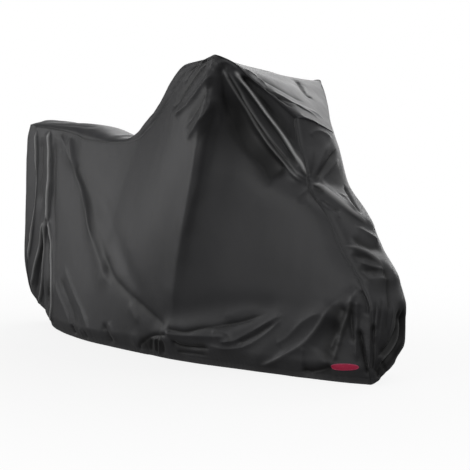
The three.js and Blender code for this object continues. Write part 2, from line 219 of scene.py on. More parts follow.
# How far the hanging cloth stands out of the straight line between its top seam and its hem: u, out.
RIGHT_BULGE = ((0, 0), (0.2, 18), (0.45, 30), (0.6, 16), (0.75, -18), (0.9, -6), (1, 0))
LEFT_BULGE = ((0, 0), (0.2, 20), (0.45, 34), (0.6, 10), (0.78, -16), (0.9, -4), (1, 0))

# The main folds, as in the solids but for three of the right panel's that are softer at the peak. The side
# panels' are placed by x and z, the centre panel's by y and z at its front and rear and by x and y on top.
RIGHT_FOLDS = (  # start, end, bow, height at the start and the end, half width
    (-975, 900, -975, 500, 0, 6, 15, 40),
    (-975, 490, -915, 110, 22, 15, 14, 40),
    (-1000, 470, -1165, 120, 0, 10, 12, 36),
    (-990, 420, -1040, 150, 0, -12, -14, 36),
    (-860, 905, -330, 310, -18, 12, 10, 60),
    (-700, 740, 120, 165, -45, -10, -16, 55),
    (585, 1225, 230, 1025, 0, 8, 8, 40),
    (540, 1075, 410, 950, 0, 12, 6, 40),
    (578, 1160, 255, 300, -12, 7, 4, 45),
    (602, 1225, 818, 775, -10, 10, 14, 42),
    (596, 1060, 720, 810, -20, -17, -14, 60),
    (190, 110, 520, 150, -14, 15, 17, 38),
    (230, 190, 740, 265, -16, -10, -10, 45),
    (520, 104, 800, 240, -10, 14, 8, 36),
    (-30, 45, 170, 92, 16, 10, 6, 36),
    (1010, 270, 680, 50, 24, 14, 10, 40),
    (1030, 200, 930, 80, 0, -14, -12, 42),
    (1120, 315, 1025, 110, 12, 14, 12, 36),
)
LEFT_FOLDS = (  # columns as above
    (-985, 870, -970, 420, 0, 8, 14, 40),
    (-965, 410, -900, 90, -20, 14, 12, 40),
    (-985, 400, -1130, 130, 0, 10, 12, 38),
    (-840, 860, -330, 190, 24, 12, 18, 55),
    (-690, 720, -60, 180, 40, -10, -14, 55),
    (370, 1090, 50, 930, 0, 14, 8, 42),
    (370, 1010, 250, 860, 0, 12, 6, 42),
    (400, 1060, 190, 280, 10, 8, 5, 45),
    (440, 1075, 780, 770, 12, 15, 12, 42),
    (430, 990, 640, 780, 20, -22, -12, 60),
    (-60, 120, 330, 160, 16, 14, 14, 38),
    (20, 200, 560, 260, 18, -12, -10, 42),
    (430, 90, 760, 240, 12, 13, 8, 36),
    (1000, 300, 660, 80, -24, 14, 10, 40),
    (1110, 330, 1000, 120, -12, 13, 12, 36),
    (1020, 230, 900, 100, 0, -13, -11, 42),
)
FRONT_FOLDS = (  # columns as above
    (-88, 748, 60, 600, 12, 20, 14, 28),
    (-88, 690, 40, 560, 10, -12, -8, 26),
    (-88, 765, 45, 900, 0, 10, 8, 28),
    (-70, 515, 40, 425, -14, 15, 13, 28),
    (-60, 392, 70, 405, 0, 9, 7, 26),
    (-70, 335, 60, 350, 0, -7, -7, 30),
    (-30, 270, -50, 110, 8, 4, 5, 28),
    (35, 290, 10, 120, 0, -12, -12, 26),
)
REAR_FOLDS = (  # columns as above
    (-45, 900, -35, 110, 10, -5, -14, 26),
    (55, 860, 40, 120, 8, -5, -14, 28),
    (0, 460, 5, 110, 0, 3, 5, 26),
)
TOP_FOLDS = (  # columns as above
    (-1080, -60, -930, 40, 0, 9, 6, 34),
    (-1000, -50, -700, 60, 0, -6, -4, 38),
    (-470, -60, -350, 90, 0, 8, 8, 34),
    (520, 120, 640, 70, 0, -10, -6, 34),
    (600, -220, 560, 200, -16, -8, -8, 45),
)

# Creases of the cloth, finer than the main folds. Each row has its height (a trough is below zero), its half
# width to the left and to the right of the way in which it is walked, how round its crest is (0 is a knife
# edge), the lengths over which it rises at its start and dies away at its end, and the places that it passes,
# by the same two axes as the main folds.
# Each trough also paints shade into the cloth's colour, and each sharp crest a highlight.
RIGHT_CREASES = (  # height, wide left, wide right, roundness, rise, fall, places
    # Two upright folds at the tail, and the fan under the foot of the second one.
    (14, 5, 17, 0.15, 50, 60, ((-1066, 948), (-1062, 816), (-1064, 745), (-1075, 600), (-1097, 466),
                              (-1123, 380), (-1160, 294))),
    (14, 5, 20, 0.15, 40, 40, ((-955, 942), (-951, 880), (-947, 800), (-946, 700), (-948, 600), (-948, 500))),
    (3, 10, 30, 0.5, 60, 60, ((-954, 930), (-947, 800), (-946, 700), (-948, 600), (-950, 505))),
    (9, 7, 8, 0.3, 18, 18, ((-954, 535), (-959, 505), (-966, 478))),
    (12, 5.5, 10, 0.3, 30, 60, ((-954, 508), (-978, 476), (-1005, 431), (-1040, 362), (-1080, 288),
                             (-1120, 221), (-1168, 160))),
    (12, 5.5, 8, 0.3, 30, 60, ((-950, 505), (-963, 474), (-978, 420), (-990, 367), (-1009, 293), (-1037, 219),
                             (-1080, 140), (-1140, 84))),
    (13, 5.5, 10, 0.3, 30, 40, ((-945, 512), (-927, 475), (-908, 419), (-887, 366), (-866, 320), (-850, 260),
                               (-839, 193), (-851, 120), (-876, 64), (-900, 20))),
    (-8, 12, 12, 0.4, 60, 80, ((-985, 440), (-1012, 385), (-1045, 300), (-1085, 210), (-1135, 140))),
    (-12, 17, 17, 0.4, 60, 80, ((-942, 450), (-933, 417), (-913, 324), (-900, 233), (-912, 157), (-940, 90))),
    (-7, 18, 18, 0.6, 60, 90, ((-1012, 910), (-1016, 770), (-1022, 650), (-1020, 540))),
    (-5, 18, 14, 0.5, 60, 90, ((-912, 900), (-910, 749), (-906, 609), (-880, 480), (-835, 370))),
    # The long fold from the tail, and the trough in front of it.
    (8, 18, 44, 0.25, 40, 110, ((-786, 906), (-759, 854), (-739, 810), (-709, 745), (-672, 702), (-618, 644),
                              (-572, 593), (-525, 529), (-462, 453), (-413, 415), (-363, 372), (-302, 325),
                              (-259, 288), (-228, 263))),
    (6, 5, 9, 0.2, 60, 240, ((-786, 906), (-759, 854), (-739, 810), (-709, 745), (-672, 702), (-618, 644),
                             (-572, 593), (-525, 529), (-462, 453), (-413, 415))),
    (4.5, 9, 18, 0.3, 35, 45, ((-868, 918), (-822, 878), (-770, 822), (-728, 773))),
    (-6, 20, 46, 0.5, 60, 80, ((-720, 810), (-705, 787), (-672, 744), (-636, 704), (-588, 661), (-535, 604),
                               (-474, 531), (-419, 470), (-347, 409), (-285, 362), (-225, 320))),
    (-7, 16, 26, 0.4, 90, 60, ((-347, 409), (-285, 362), (-225, 320), (-151, 286), (-64, 250), (11, 221),
                               (78, 191), (161, 160), (222, 131))),
    (3.5, 16, 16, 0.5, 40, 40, ((-75, 217), (-32, 172), (17, 126))),
    # The line from the peak where the panel turns, and its soft trough.
    (5, 16, 44, 0.3, 90, 120, ((576, 1182), (545, 1075), (530, 1004), (512, 955), (497, 917), (484, 871),
                               (470, 816), (456, 764), (437, 715), (411, 655), (383, 584), (348, 501),
                               (318, 418), (284, 300), (253, 194))),
    (-2.5, 20, 34, 0.7, 80, 120, ((556, 1000), (528, 900), (508, 820), (474, 720), (432, 630), (392, 520),
                                (356, 420), (326, 310))),
    # The folds that hang from the peak.
    (12, 12, 14, 0.2, 30, 70, ((575, 1192), (545, 1155), (492, 1128), (447, 1099), (391, 1066), (340, 1042),
                              (285, 1020), (240, 1004))),
    (-9, 15, 15, 0.45, 25, 70, ((520, 1226), (496, 1220), (430, 1184), (372, 1148), (314, 1107), (253, 1067),
                                (183, 1032))),
    (-8, 13, 15, 0.5, 50, 80, ((566, 1156), (552, 1133), (523, 1093), (465, 1042), (397, 995), (352, 946))),
    (10, 11, 13, 0.25, 35, 70, ((552, 1100), (540, 1055), (523, 1027), (498, 996), (461, 964), (410, 931),
                               (380, 910))),
    (-4, 15, 15, 0.7, 60, 70, ((560, 1070), (530, 985), (478, 920), (430, 880))),
    (5, 7, 8, 0.3, 20, 30, ((480, 1232), (430, 1205), (380, 1180), (330, 1150))),
    (-4, 7, 7, 0.4, 20, 30, ((450, 1228), (390, 1200), (330, 1168), (290, 1140))),
    (5, 6, 7, 0.25, 12, 25, ((300, 1186), (250, 1152), (205, 1125), (160, 1098))),
    (-4, 7, 7, 0.4, 15, 25, ((250, 1160), (190, 1120), (150, 1090))),
    # The small creases that fan out right at the peak.
    (4, 8, 12, 0.4, 30, 80, ((590, 1215), (586, 1182), (570, 1134), (560, 1077), (559, 1018), (553, 960))),
    (-5, 8, 10, 0.35, 30, 90, ((597, 1210), (597, 1189), (587, 1135), (578, 1077), (584, 1019), (600, 960))),
    (6, 7, 8, 0.3, 15, 20, ((600, 1236), (607, 1223), (619, 1213), (628, 1197), (634, 1182))),
    (4, 5, 6, 0.3, 12, 20, ((585, 1236), (557, 1229), (520, 1224), (473, 1216))),
    (-2.5, 7, 7, 0.5, 20, 26, ((580, 1228), (569, 1194), (560, 1180))),
    (3.5, 5, 5, 0.3, 12, 18, ((593, 1228), (594, 1205), (595, 1185))),
    (-4, 5, 6, 0.3, 12, 18, ((600, 1222), (606, 1200), (608, 1180))),
    # The tight folds from the peak to the pinched place on the front seam.
    (3, 8, 26, 0.4, 60, 60, ((596, 1182), (570, 1094), (570, 1027), (579, 988), (595, 924), (614, 877),
                              (647, 838), (678, 799), (712, 735))),
    (-5, 40, 8, 0.4, 130, 50, ((606, 1170), (580, 1092), (582, 1026), (590, 986), (605, 924), (624, 876),
                               (656, 838), (689, 799), (722, 730))),
    (-12, 22, 40, 0.8, 170, 50, ((604, 1130), (608, 1075), (616, 1020), (636, 952), (676, 888), (724, 832),
                               (780, 786))),
    (8, 5, 8, 0.15, 25, 30, ((602, 1196), (610, 1126), (620, 1075), (638, 1024), (662, 968), (697, 906),
                             (737, 850), (780, 801), (826, 757))),
    (-8, 5, 5, 0.3, 30, 40, ((610, 1180), (619, 1111), (632, 1047), (659, 985), (692, 929), (729, 878),
                             (769, 829), (812, 782))),
    (7, 5, 7, 0.15, 30, 30, ((614, 1186), (628, 1114), (642, 1056), (663, 998), (693, 943), (725, 890),
                             (757, 848), (791, 809), (830, 764))),
    (5, 4, 5, 0.2, 40, 50, ((625, 1107), (649, 1028), (689, 956), (734, 890), (783, 829))),
    (-8, 6, 6, 0.3, 40, 50, ((632, 1153), (646, 1101), (665, 1055), (688, 1007), (714, 960), (748, 910),
                             (782, 859), (810, 809))),
    (13, 4.5, 8, 0.1, 25, 25, ((628, 1190), (633, 1173), (641, 1151), (658, 1112), (675, 1070), (694, 1027),
                              (716, 986), (741, 943), (769, 900), (797, 855), (815, 822), (832, 780))),
    (4, 9, 9, 0.4, 12, 12, ((620, 1194), (627, 1182), (634, 1168))),
    (-15, 13, 8, 0.3, 25, 200, ((640, 1176), (648, 1158), (665, 1119), (686, 1071), (707, 1026), (735, 975),
                                (764, 926), (794, 879), (818, 838))),
    # Short folds below the pinched place.
    (4, 6, 9, 0.3, 12, 30, ((846, 738), (836, 712), (826, 693), (815, 672))),
    (-3, 8, 9, 0.6, 16, 26, ((850, 716), (846, 698), (836, 672))),
    (2.5, 6, 8, 0.3, 12, 22, ((850, 712), (862, 690), (876, 658))),
    # The swags above the hem, and the arch with its pleats.
    (-8, 28, 28, 0.8, 40, 50, ((10, 20), (80, 55), (150, 68), (205, 70))),
    (-8, 6, 9, 0.3, 20, 40, ((-14, 8), (-4, 34), (44, 63), (96, 88), (170, 101), (232, 108))),
    (4, 5, 6, 0.3, 12, 14, ((126, 88), (112, 55), (94, 16))),
    (5, 5, 6, 0.3, 12, 12, ((162, 84), (142, 48), (118, 8))),
    (-6, 6, 6, 0.3, 12, 14, ((96, 74), (80, 45), (60, 14))),
    (-6, 6, 6, 0.3, 12, 14, ((146, 80), (128, 48), (108, 12))),
    (-5, 6, 6, 0.3, 12, 14, ((184, 82), (170, 48), (150, 16))),
    (-8, 9, 10, 0.3, 30, 120, ((212, 132), (267, 129), (328, 129), (378, 141), (430, 155), (480, 164),
                               (527, 176), (596, 192), (669, 216), (743, 243))),
    (7, 12, 14, 0.35, 30, 60, ((205, 112), (251, 115), (307, 114), (379, 119), (464, 125), (522, 129),
                               (552, 130))),
    (4, 7, 9, 0.3, 16, 20, ((468, 141), (497, 148), (526, 150), (550, 141), (557, 124), (540, 111),
                            (506, 105))),
    (-12, 9, 9, 0.3, 25, 40, ((236, 90), (268, 69), (330, 64), (390, 68), (455, 74))),
    (-6, 6, 6, 0.3, 25, 40, ((250, 37), (355, 40), (440, 43))),
    (6, 8, 12, 0.25, 30, 40, ((522, 106), (571, 116), (606, 132), (654, 157), (701, 183), (750, 211),
                             (795, 234), (818, 245))),
    (5, 8, 12, 0.3, 40, 40, ((436, 87), (508, 80), (565, 84), (615, 95), (663, 116), (714, 147), (751, 174),
                             (787, 203), (816, 232))),
    (-4, 8, 8, 0.5, 30, 30, ((585, 106), (661, 139), (712, 168), (775, 208))),
    (3, 16, 18, 0.6, 45, 60, ((510, 205), (560, 222), (619, 240), (705, 258))),
    (5, 9, 14, 0.3, 25, 60, ((778, 121), (823, 147), (854, 172), (884, 202), (908, 222), (951, 247),
                             (1012, 273))),
    # The lower rear corner of the panel.
    (4, 12, 26, 0.5, 70, 60, ((-834, 250), (-781, 199), (-728, 156), (-675, 118), (-638, 80), (-617, 26))),
    (-4, 16, 16, 0.6, 60, 60, ((-756, 258), (-690, 208), (-628, 159), (-573, 107), (-538, 36))),
    (4, 12, 26, 0.5, 70, 60, ((-727, 320), (-667, 269), (-613, 225), (-555, 179), (-503, 143), (-455, 100),
                              (-422, 55), (-409, 16))),
    (-9, 12, 17, 0.4, 34, 20, ((-290, 108), (-271, 85), (-247, 56), (-224, 14))),
    (4, 12, 12, 0.5, 20, 25, ((-240, 116), (-215, 76), (-190, 20))),
    (-8, 9, 9, 0.35, 14, 14, ((-600, 62), (-588, 36), (-584, 8))),
    (5, 7, 9, 0.35, 14, 14, ((-512, 58), (-500, 30), (-497, 6))),
    (-7, 8, 8, 0.35, 14, 14, ((-468, 52), (-455, 28), (-452, 6))),
    # The fan of folds behind the foot of the front seam.
    (8, 7, 14, 0.25, 60, 35, ((683, 24), (778, 62), (846, 98), (902, 134), (942, 173), (979, 217),
                               (1008, 255), (1024, 284))),
    (9, 30, 110, 0.6, 90, 60, ((760, 50), (846, 92), (902, 130), (942, 170), (979, 215), (1010, 262),
                               (1060, 315))),
    (6, 12, 40, 0.3, 35, 30, ((1012, 270), (1047, 307), (1081, 336), (1122, 370))),
    (-12, 28, 26, 0.8, 40, 40, ((1092, 310), (1066, 235), (1042, 175), (1022, 120), (1000, 70))),
    (3, 7, 9, 0.3, 20, 20, ((908, 128), (903, 90), (904, 48))),
    (-13, 12, 12, 0.4, 25, 25, ((888, 32), (941, 30), (1001, 44), (1048, 62))),
    (4, 5, 6, 0.3, 18, 18, ((930, 20), (983, 34), (1032, 52))),
    (3, 6, 7, 0.3, 14, 14, ((1032, 122), (1042, 152), (1054, 173), (1062, 162), (1064, 138))),
    (8, 7, 9, 0.25, 30, 40, ((1124, 362), (1117, 322), (1104, 275), (1086, 222), (1073, 184), (1064, 145),
                             (1053, 112), (1043, 66))),
    (-9, 7, 7, 0.35, 25, 30, ((1120, 318), (1111, 250), (1118, 195), (1131, 146))),
    (6, 6, 9, 0.25, 25, 40, ((1141, 330), (1137, 266), (1135, 207), (1136, 152), (1138, 82))),
    (-14, 6, 7, 0.3, 30, 20, ((1142, 218), (1153, 159), (1162, 113), (1174, 66), (1179, 32))),
    (-6, 6, 6, 0.35, 16, 18, ((1137, 362), (1152, 334), (1166, 307), (1177, 260))),
)
LEFT_CREASES = (  # columns as above
    (5, 15, 9, 0.3, 60, 90, ((-984, 900), (-985, 760), (-985, 620), (-978, 460))),
    (4.5, 10, 9, 0.3, 60, 90, ((-984, 450), (-1020, 400), (-1070, 280), (-1150, 130))),
    (7, 14, 9, 0.25, 60, 90, ((-975, 440), (-950, 380), (-915, 270), (-900, 150), (-930, 70))),
    (-8, 18, 18, 0.6, 60, 90, ((-978, 430), (-972, 330), (-985, 200), (-1050, 90))),
    (8, 9, 24, 0.25, 60, 90, ((-850, 870), (-760, 770), (-660, 650), (-560, 500), (-430, 340),
                              (-330, 220))),
    (-7, 28, 14, 0.4, 60, 90, ((-690, 730), (-560, 590), (-420, 420), (-260, 290), (-80, 200), (40, 140))),
    (4.5, 30, 18, 0.5, 60, 90, ((410, 1120), (370, 960), (320, 800), (260, 600), (200, 400), (170, 280))),
    (9, 13, 11, 0.25, 50, 90, ((395, 1120), (320, 1075), (230, 1020), (120, 970), (50, 935))),
    (-6, 15, 15, 0.5, 60, 90, ((370, 1130), (270, 1085), (180, 1040), (90, 990))),
    (8, 11, 9, 0.25, 50, 70, ((385, 1050), (340, 985), (290, 920), (250, 870))),
    (-5, 12, 12, 0.5, 60, 75, ((380, 1085), (310, 1010), (250, 950), (190, 915))),
    (10, 6, 11, 0.2, 50, 80, ((425, 1110), (455, 1040), (520, 950), (610, 860), (700, 800), (800, 745))),
    (-5, 5, 6, 0.4, 60, 90, ((430, 1112), (468, 1046), (536, 954), (630, 866), (720, 806))),
    (11, 7, 8, 0.15, 50, 80, ((440, 1115), (480, 1060), (560, 970), (660, 880), (760, 800), (825, 750))),
    (-11, 13, 8, 0.35, 50, 90, ((462, 1112), (510, 1050), (590, 965), (690, 880), (780, 812))),
    (8, 13, 14, 0.4, 60, 90, ((-80, 112), (20, 112), (130, 118), (240, 140), (330, 168))),
    (-7, 16, 12, 0.5, 60, 90, ((0, 140), (120, 150), (260, 180), (400, 210), (560, 265))),
    (-9, 9, 9, 0.4, 60, 90, ((-40, 76), (60, 70), (180, 72), (260, 80))),
    (8, 11, 8, 0.3, 50, 80, ((400, 84), (520, 110), (640, 170), (760, 245))),
    (4.5, 8, 8, 0.35, 15, 20, ((-190, 3), (-186, 24), (-176, 60))),
    (4.5, 8, 8, 0.35, 15, 20, ((-140, 3), (-138, 22), (-128, 70))),
    (-4, 7, 7, 0.4, 15, 20, ((-166, 3), (-162, 22), (-152, 60))),
    (7, 12, 10, 0.3, 50, 80, ((-860, 260), (-780, 170), (-690, 90), (-660, 20))),
    (7, 12, 10, 0.3, 50, 80, ((-740, 300), (-640, 200), (-540, 110), (-500, 20))),
    (-6, 16, 12, 0.5, 30, 35, ((-420, 120), (-390, 70), (-370, 8))),
    (8, 8, 11, 0.22, 60, 90, ((1020, 300), (970, 240), (900, 170), (800, 110), (680, 70))),
    (-9, 20, 14, 0.5, 60, 80, ((1015, 270), (960, 200), (900, 120), (860, 60))),
    (8, 8, 9, 0.2, 60, 75, ((1120, 340), (1085, 270), (1050, 190), (1010, 110))),
    (-9, 8, 8, 0.4, 55, 65, ((1128, 310), (1105, 240), (1080, 170), (1050, 110))),
    (6, 7, 7, 0.25, 55, 70, ((1140, 320), (1130, 240), (1110, 160), (1090, 100))),
)
FRONT_CREASES = (  # columns as above
    # The folds that run up and down from the pinched place on the right seam.
    (15, 22, 6, 0.12, 18, 60, ((-100, 749), (-85, 744), (-68, 717), (-52, 683), (-32, 646), (-5, 619),
                               (26, 592))),
    (5, 7, 9, 0.3, 16, 20, ((-22, 712), (-12, 694), (-20, 666), (-8, 640))),
    (-12, 6, 7, 0.25, 22, 16, ((44, 742), (36, 715), (27, 698), (12, 671), (-3, 634))),
    (-8, 5, 5, 0.3, 8, 12, ((-98, 738), (-86, 728), (-74, 711))),
    (-7, 7, 7, 0.35, 15, 20, ((-99, 692), (-89, 679), (-80, 661), (-68, 640))),
    (4.5, 5, 5, 0.25, 12, 14, ((-94, 662), (-86, 642), (-76, 618))),
    (5, 9, 9, 0.3, 15, 60, ((-99, 756), (-69, 816), (-20, 874), (30, 908))),
    (-8, 8, 9, 0.3, 15, 60, ((-95, 757), (-59, 800), (-8, 845), (52, 884))),
    (5, 10, 10, 0.3, 20, 40, ((-92, 752), (-42, 786), (10, 818), (62, 845))),
    (-4, 6, 6, 0.35, 15, 40, ((-98, 770), (-86, 820), (-66, 880))),
    (4, 7, 9, 0.3, 14, 30, ((-74, 934), (-50, 950), (-20, 953), (10, 944), (50, 920))),
    # The bands below them.
    (8, 9, 8, 0.25, 22, 20, ((-45, 592), (-15, 572), (2, 560), (26, 545), (48, 525))),
    (-8.5, 12, 12, 0.5, 30, 30, ((-78, 556), (-47, 530), (-13, 513), (20, 509), (48, 520))),
    (10, 14, 7, 0.2, 20, 40, ((-99, 519), (-85, 516), (-67, 509), (-47, 498), (-27, 481), (-12, 461),
                             (-4, 436))),
    (-8, 10, 10, 0.45, 25, 40, ((-99, 490), (-84, 483), (-60, 480), (-38, 470), (-20, 450))),
    (6, 9, 7, 0.25, 20, 25, ((-94, 455), (-75, 455), (-55, 447), (-27, 438), (2, 432))),
    (-8, 10, 10, 0.5, 25, 35, ((-99, 428), (-82, 431), (-55, 431), (-20, 425))),
    (4.5, 9, 9, 0.3, 20, 30, ((-98, 396), (-78, 401), (-38, 403), (12, 398))),
    (-8, 10, 10, 0.4, 30, 60, ((-13, 448), (-8, 414), (-12, 377), (-24, 321), (-40, 267))),
    # The broad shallow troughs that the bands lie in, and the one at the foot, which darken the front mostly
    # by their painted shade.
    (-4, 45, 45, 0.9, 50, 60, ((24, 560), (-10, 480), (-40, 400), (-50, 330))),
    (-6, 26, 40, 0.8, 40, 30, ((52, 310), (48, 210), (14, 124), (-60, 66))),
    # The fine upright pleats over the foot.
    (3, 5, 6, 0.3, 30, 30, ((-72, 326), (-80, 269), (-88, 212), (-92, 160))),
    (3, 6, 7, 0.3, 30, 40, ((-38, 345), (-60, 279), (-71, 212), (-80, 140))),
    (-4, 5, 5, 0.4, 30, 30, ((-82, 326), (-90, 257), (-94, 180))),
    (-4, 5, 5, 0.4, 30, 40, ((-56, 332), (-72, 269), (-80, 190))),
    (4, 7, 9, 0.35, 40, 40, ((-8, 310), (-24, 246), (-38, 180))),
    (-4, 6, 6, 0.4, 30, 40, ((-22, 320), (-44, 256), (-56, 190))),
    (-8, 5, 5, 0.3, 25, 30, ((-94, 240), (-95, 173), (-95, 117), (-93, 50))),
    # The arcs round the foot.
    (-13, 9, 10, 0.3, 35, 35, ((32, 290), (24, 222), (6, 186), (-25, 156), (-58, 130), (-88, 106))),
    (8, 6, 8, 0.25, 35, 35, ((40, 250), (31, 195), (15, 158), (-18, 130), (-50, 106), (-76, 84))),
    (-18, 12, 16, 0.3, 50, 30, ((55, 290), (54, 220), (46, 170), (24, 132), (-8, 98), (-58, 66))),
    (-14, 20, 20, 0.5, 25, 20, ((-30, 84), (-56, 58), (-80, 30))),
)
REAR_CREASES = (  # columns as above
    (3.5, 9, 12, 0.4, 60, 90, ((-72, 900), (-70, 700), (-66, 500), (-58, 300), (-50, 150))),
    (-4, 12, 12, 0.5, 60, 90, ((-45, 880), (-42, 640), (-38, 420), (-30, 200), (-28, 105))),
    (4, 10, 10, 0.35, 60, 90, ((10, 520), (4, 400), (0, 240), (2, 110))),
    (-4, 12, 12, 0.5, 60, 90, ((52, 860), (50, 640), (46, 420), (40, 200), (38, 105))),
    (3.5, 12, 9, 0.4, 60, 90, ((80, 880), (82, 700), (80, 500), (76, 320), (62, 160))),
    (3, 9, 9, 0.4, 60, 70, ((-110, 940), (-60, 915), (0, 905), (60, 910), (110, 930))),
)
TOP_CREASES = (  # columns as above
    (3, 9, 9, 0.3, 50, 60, ((-1130, -80), (-1060, -50), (-980, 20), (-930, 70))),
    (2, 8, 9, 0.3, 40, 60, ((-1010, -100), (-915, -86), (-800, -60), (-700, -20))),
    (-2, 9, 9, 0.4, 40, 60, ((-960, -104), (-860, -98), (-760, -88), (-640, -50))),
    (1.5, 8, 8, 0.3, 40, 60, ((-880, -108), (-790, -104), (-700, -96), (-600, -70))),
    (2, 9, 9, 0.4, 50, 60, ((-900, 100), (-800, 80), (-700, 96))),
    (4, 10, 10, 0.4, 60, 70, ((-470, -90), (-420, -20), (-380, 60), (-360, 120))),
    (-5, 10, 10, 0.4, 60, 85, ((-139, -142), (-25, -176), (62, -199), (130, -222))),
    (4, 9, 9, 0.4, 55, 70, ((-160, -110), (-50, -140), (60, -160))),
    (3.5, 9, 9, 0.4, 60, 90, ((-200, 60), (-80, 90), (40, 150), (120, 200))),
    # The nose top: its bent crease, its folds and its lower edge.
    (-7, 6, 6, 0.3, 14, 14, ((498, 124), (510, 132), (528, 124), (555, 109), (585, 92), (606, 86), (618, 92),
                             (616, 120))),
    (4, 7, 7, 0.3, 25, 30, ((520, 150), (545, 136), (580, 112), (605, 104))),
    (5, 8, 8, 0.3, 30, 60, ((700, -186), (716, -127), (736, -76), (748, -9), (763, 40))),
    (-5, 7, 7, 0.35, 30, 60, ((718, -172), (728, -120), (744, -60), (756, 0))),
    (5, 8, 8, 0.3, 30, 60, ((745, -120), (734, -43), (729, 32), (738, 84))),
    (-6, 6, 6, 0.3, 20, 30, ((690, -206), (716, -160), (742, -126), (758, -108))),
    (5, 7, 7, 0.3, 20, 30, ((640, -262), (646, -220), (660, -200), (690, -176))),
    (-4, 8, 8, 0.4, 40, 60, ((648, -236), (664, -160), (690, -60), (690, 20))),
    (3, 8, 8, 0.4, 60, 90, ((560, -300), (540, -200), (500, -60), (470, 80))),
    (-3, 9, 9, 0.5, 60, 90, ((520, -300), (480, -180), (440, -20), (400, 120))),
    (7, 7, 9, 0.15, 20, 40, ((774, -104), (796, -76), (805, -35), (808, 6), (804, 60), (784, 96))),
)

# The cloth's grids: how many cells each way, and how much closer they lie at the seams and the hem.
ALONG = 440
DOWN = 218
ACROSS = 104
DENSER_AT_ENDS = 0.6
DENSE_REACH = 0.012
SPACING_STEPS = 4001

# How close the cells lie, by the part of the way along or down: closer where there are more creases.
ALONG_DENSITY = (
    (0.0, 1.5),
    (0.09, 1.3),
    (0.2, 0.8),
    (0.28, 0.6),
    (0.46, 0.65),
    (0.56, 1.0),
    (0.68, 1.25),
    (1.0, 1.25),
)
DOWN_DENSITY = ((0.0, 1.0), (0.6, 0.95), (0.8, 1.1), (1.0, 1.2))

# The main folds keep this share of their height as broad forms, and the creases on them hold the rest.
FOLD_SHARE = 0.55

# They die away beside a seam within this distance, and at the ends of the centre panel's stretches within
# this part of a stretch.
FOLD_FADE = 45.0
STRETCH_FADE = 0.06

# The hem is drawn in by this much, and from this part of the way down.
HEM_TUCK = 22.0
HEM_TUCK_FROM = 0.93

# Creases die away beside a seam within this distance, and reach this many half widths to either side.
SEAM_FADE = 9.0
CREASE_REACH = 5

# Where a crease rises and dies away it is narrower, by up to this share.
NARROWER_AT_ENDS = 0.5

# A crease is a little higher and lower along its way: by this share, over this length, and each crease starts
# this much further on in the swell than the one before it.
CREASE_SWELLS = ((0.2, 61, 1.7), (0.1, 23, 1.0))

# A sharp crest gets a painted highlight, by this share for each unit that its height over its width is above
# blunt, over this part of its width. A trough of this depth gets the darkest painted shade.
BLUNT = 1.0
CREST_HIGHLIGHT_SHARE = 0.6
CREST_HIGHLIGHT_WIDE = 0.8
PAINTED_SHADE_DEPTH = 10.0

# Crests at least this high and no wider than this draw the grid's cells closer, by this share and over this
# reach.
GATHER_FROM = 4.0
GATHER_WIDEST = 15.0
GATHER_SHARE = 0.5
GATHER_REACH = 10.0

# A seam: its welt's half width, the stitched groove beside it (depth, distance and half width), and the
# puckers along it (height, length and reach), which start within this distance.
WELT_WIDE = 3.4
GROOVE = (-0.5, 7.0, 2.2)
PUCKER = (0.45, 20.0, 18.0)
PUCKER_FROM = 8

# Where one seam or hem meets another seam, its own relief starts within this distance.
CORNER_FADE = 12

# The line of the seam itself: how dark its painted shade is, and its half width.
SEAM_SHADE = 0.85
SEAM_SHADE_WIDE = 2.4

# The hem: the depth and half width of its stitched groove, the gathers over its elastic (height, length and
# reach), and how far inside the turned-in cloth lies, in how many rows.
HEM_GROOVE = (-0.9, 2.6)
ELASTIC = (0.7, 26.0, 40.0)
HEM_TURN = 2.4
HEM_TURN_ROWS = 4

# The cloth's soft unevenness in coarse and fine patches: how far they stand out, how wide they are, and their
# width over their height. A seed moves the pattern by this much along each axis.
SIDE_UNEVEN = ((1.2, 150, 0.6), (0.6, 52, 0.55))
CENTRE_UNEVEN = ((1.1, 120, 1), (0.6, 45, 1))
SEED_STEP = (17.3, 5.1, 9.7)

# A ripple along a seam or hem drifts from an even run in two slow waves (by a share of a ripple, over so many
# ripples), and swells and fades (by a share, over so many ripples).
RIPPLE_DRIFT = ((0.9, 4.3), (0.5, 9.1))
RIPPLE_SWELL = (0.4, 3.1)

# How crumpled the cloth is in the middle of a panel, and how far the crumples reach from a seam and a hem.
CRUMPLED_LEAST = 0.15
CRUMPLED_BY_SEAM = 60
CRUMPLED_BY_HEM = 90

# The stitches: how far their middle lies off the cloth, how flat the thread is pressed, and how far above the
# hem's edge those beside the rear and front seams stop.
STITCH_LIFT = 0.15
THREAD_FLAT = 0.8
STITCH_STOP = 4.0


def curve(rows):
    """A smooth curve through a table's rows, with no overshoot between them."""
    table = np.array(rows, float)
    at, values = table[:, 0], table[:, 1:]
    span = np.diff(at)[:, None]
    rise = np.diff(values, axis=0) / span
    slopes = np.zeros_like(values)
    slopes[0], slopes[-1] = rise[0], rise[-1]
    before, after = span[:-1], span[1:]
    weight_before, weight_after = 2 * after + before, after + 2 * before
    same_way = rise[:-1] * rise[1:] > 0
    safe = np.where(same_way, rise[:-1], 1), np.where(same_way, rise[1:], 1)
    mean = (weight_before + weight_after) / (weight_before / safe[0] + weight_after / safe[1])
    slopes[1:-1] = np.where(same_way, mean, 0)

    def value(places):
        """The curve's values at the given places."""
        places = np.asarray(places, float)
        i = np.clip(np.searchsorted(at, places, side="right") - 1, 0, len(at) - 2)
        length = (at[i + 1] - at[i])[..., None]
        t = (places[..., None] - at[i][..., None]) / length
        start = values[i] * (1 + 2 * t) * (1 - t) ** 2 + slopes[i] * length * t * (1 - t) ** 2
        end = values[i + 1] * t * t * (3 - 2 * t) + slopes[i + 1] * length * t * t * (t - 1)
        return start + end

    return value


def smooth(value):
    """A soft step from 0 to 1."""
    t = np.clip(value, 0, 1)
    return t * t * (3 - 2 * t)


